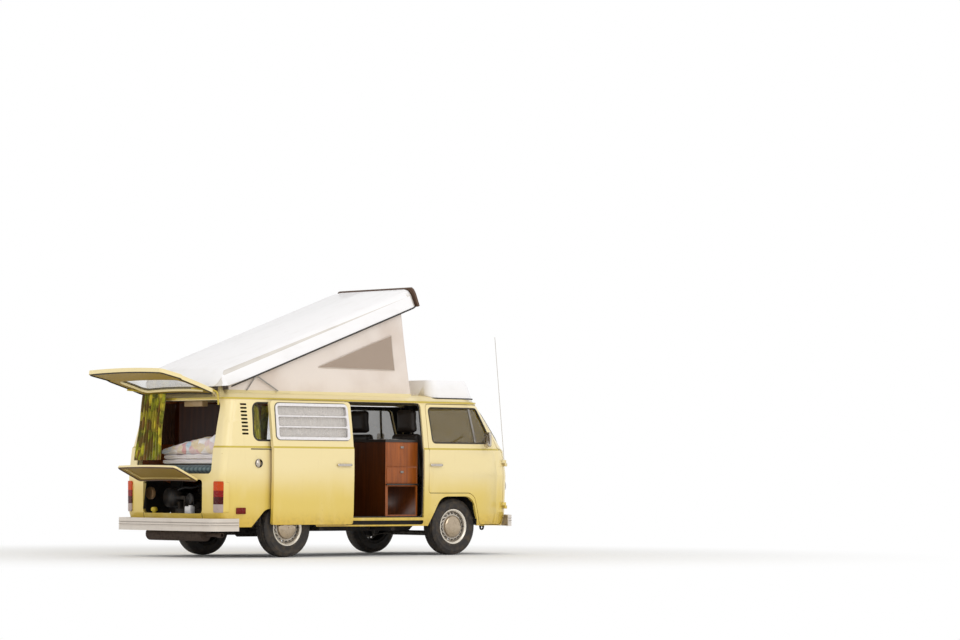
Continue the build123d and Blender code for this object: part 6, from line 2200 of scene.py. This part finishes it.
@dataclass
class Ends:
    """Lamps and bumpers."""

    lens_front: float = -2.112
    steps: int = 40
    plan: Ring = Ring(0.35, 2.224, -2.290, 0.884, 0.320, 0.064, 0.076, 0.026)

    def build(self) -> None:
        """Dress lamps and bumpers."""
        amber = Zone(z=above(0.98))
        merged_copy(
            "front_lamp_lenses", ["front_lamps"], HEAD_LENS, [(CHROME, self.lamp_rim), (AMBER_LENS, amber)],
        )
        merged_copy(
            "tail_lamp_lenses", ["tail_lamps"], TAIL_LENS, [(PAINT, Zone(x=above(self.lens_front)))],
            cuts=[((self.lens_front, 0.0, 0.0), (1.0, 0.0, 0.0))],
        )
        merged_copy("bumper_bars", ["bumpers"], BUMPER_PAINT, angle=9.0)
        self.grooves()

    @staticmethod
    def lamp_rim(centre: Vector, _: Vector) -> bool:
        """Whether a face is in a headlamp's rim."""
        return math.hypot(abs(centre.y) - 0.56, centre.z - 0.78) > 0.083 and centre.z < 0.95

    def grooves(self) -> None:
        """Two pressed lines along each bumper, in a darker tone as painted shade of the grooves."""
        for name, end, last, turn, heights in (
            ("rear", End.REAR, 1.928, 0.80, (0.350, 0.378)),
            ("front", End.FRONT, 1.955, 0.56, (0.384, 0.412)),
        ):
            across = [(self.plan.end_x(y, end), y) for y in (turn * step / 16 for step in range(-16, 17))]
            bend = abs(across[0][0])
            ends = [end.value * (last + (bend - last) * step / self.steps) for step in range(self.steps)]
            line = [(x, -self.plan.side_y(x)) for x in ends] + across
            line += [(x, self.plan.side_y(x)) for x in ends[::-1]]
            for number, height in enumerate(heights):
                path = [Vector((x, y, height)) for x, y in line]
                label = f"bumper_line_{name}_{number}"
                tube(label, path, 0.0028, BUMPER_GROOVE_SHADE, closed=False)


# Studio


@dataclass
class Studio:
    """Floor, world, lamps and camera. The angles are in radians."""

    place: Point = (-25.2367, -31.3107, 0.8605)
    yaw: float = 0.8500
    pitch: float = 0.0443
    roll: float = 0.0040
    lens: float = 134.14
    sky: float = 0.86
    lamps: tuple[tuple[str, Point, float, float], ...] = (
        ("key", (-3.0, -15.0, 10.0), 12.0, 770.0), ("fill", (-16.0, 4.0, 8.0), 10.0, 180.0),
    )
    lit: Point = (0.0, 0.0, 1.0)

    def build(self) -> None:
        """Set up the studio."""
        self.floor()
        self.world()
        for lamp in self.lamps:
            self.lamp(*lamp)
        self.camera()

    def floor(self) -> None:
        """A wide pale floor that reads as white to the camera and keeps the shadow."""
        mesh = bmesh.new()
        bmesh.ops.create_grid(mesh, x_segments=2, y_segments=2, size=90.0)
        data = bpy.data.meshes.new("floor")
        mesh.to_mesh(data)
        mesh.free()
        plane = bpy.data.objects.new("floor", data)
        bpy.context.scene.collection.objects.link(plane)
        recipe = Recipe("studio_floor")
        recipe.finish(Base_Color=tint(240, 239, 237), Roughness=0.9)
        away = (recipe.x * recipe.x + recipe.y * recipe.y).math("SQRT").between(3.0, 7.5)
        recipe.fade_to_white(away)
        data.materials.append(recipe.material)

    def world(self) -> None:
        """A white background and a soft even sky."""
        world = bpy.data.worlds.new("studio")
        bpy.context.scene.world = world
        world.use_nodes = True
        tree = world.node_tree
        tree.nodes.clear()
        kinds = ("OutputWorld", "LightPath", "Background", "Background", "MixShader", "Math", "Math")
        output, path, seen, soft, mixed, first, second = (
            tree.nodes.new("ShaderNode" + kind) for kind in kinds
        )
        for background, strength in ((seen, 1.0), (soft, self.sky)):
            background.inputs["Color"].default_value = (1.0, 1.0, 1.0, 1.0)
            background.inputs["Strength"].default_value = strength
        first.operation = second.operation = "MAXIMUM"
        for start, end in (
            (path.outputs["Is Camera Ray"], first.inputs[0]),
            (path.outputs["Is Glossy Ray"], first.inputs[1]),
            (first.outputs[0], second.inputs[0]),
            (path.outputs["Is Transmission Ray"], second.inputs[1]),
            (second.outputs[0], mixed.inputs[0]),
            (soft.outputs[0], mixed.inputs[1]),
            (seen.outputs[0], mixed.inputs[2]),
            (mixed.outputs[0], output.inputs[0]),
        ):
            tree.links.new(start, end)

    def lamp(self, name: str, place: Point, size: float, power: float) -> None:
        """Hang a large soft lamp that is aimed at the van's middle.

        Args:
            name: its name.
            place: where it hangs.
            size: its width.
            power: its power in watts.
        """
        light = bpy.data.lights.new(name, "AREA")
        light.size, light.energy = size, power
        lamp = bpy.data.objects.new(name, light)
        lamp.location = place
        lamp.rotation_euler = (Vector(self.lit) - Vector(place)).to_track_quat("-Z", "Y").to_euler()
        bpy.context.scene.collection.objects.link(lamp)

    def camera(self) -> None:
        """The camera at the photograph's place."""
        data = bpy.data.cameras.new("camera")
        data.lens, data.sensor_width, data.clip_end = self.lens, 36.0, 200.0
        data.dof.use_dof = False
        camera = bpy.data.objects.new("camera", data)
        level = math.cos(self.pitch)
        forward = Vector((level * math.cos(self.yaw), level * math.sin(self.yaw), math.sin(self.pitch)))
        right = forward.cross(Vector((0, 0, 1))).normalized()
        up = right.cross(forward)
        turned_right = right * math.cos(self.roll) + up * math.sin(self.roll)
        turned_up = up * math.cos(self.roll) - right * math.sin(self.roll)
        camera.matrix_world = Matrix.Translation(self.place) @ Matrix(
            (turned_right, turned_up, -forward)
        ).transposed().to_4x4()
        bpy.context.scene.collection.objects.link(camera)
        bpy.context.scene.camera = camera


def main() -> None:
    """Load the frame and build the van's parts in order."""
    logging.basicConfig(level=logging.INFO, format="%(name)s %(message)s")
    FRAME.update(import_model())
    bpy.context.scene.view_settings.view_transform = "Standard"
    Studio().build()
    for part in (
        BodyShell(), SlidingDoor(), FrontDoors(), Tailgate(), EngineLid(), PopRoof(), Cabin(), EngineBay(),
        RunningGear(), Ends(),
    ):
        LOG.info("building %s", type(part).__name__)
        part.build()


if __name__ == "__main__":
    main()
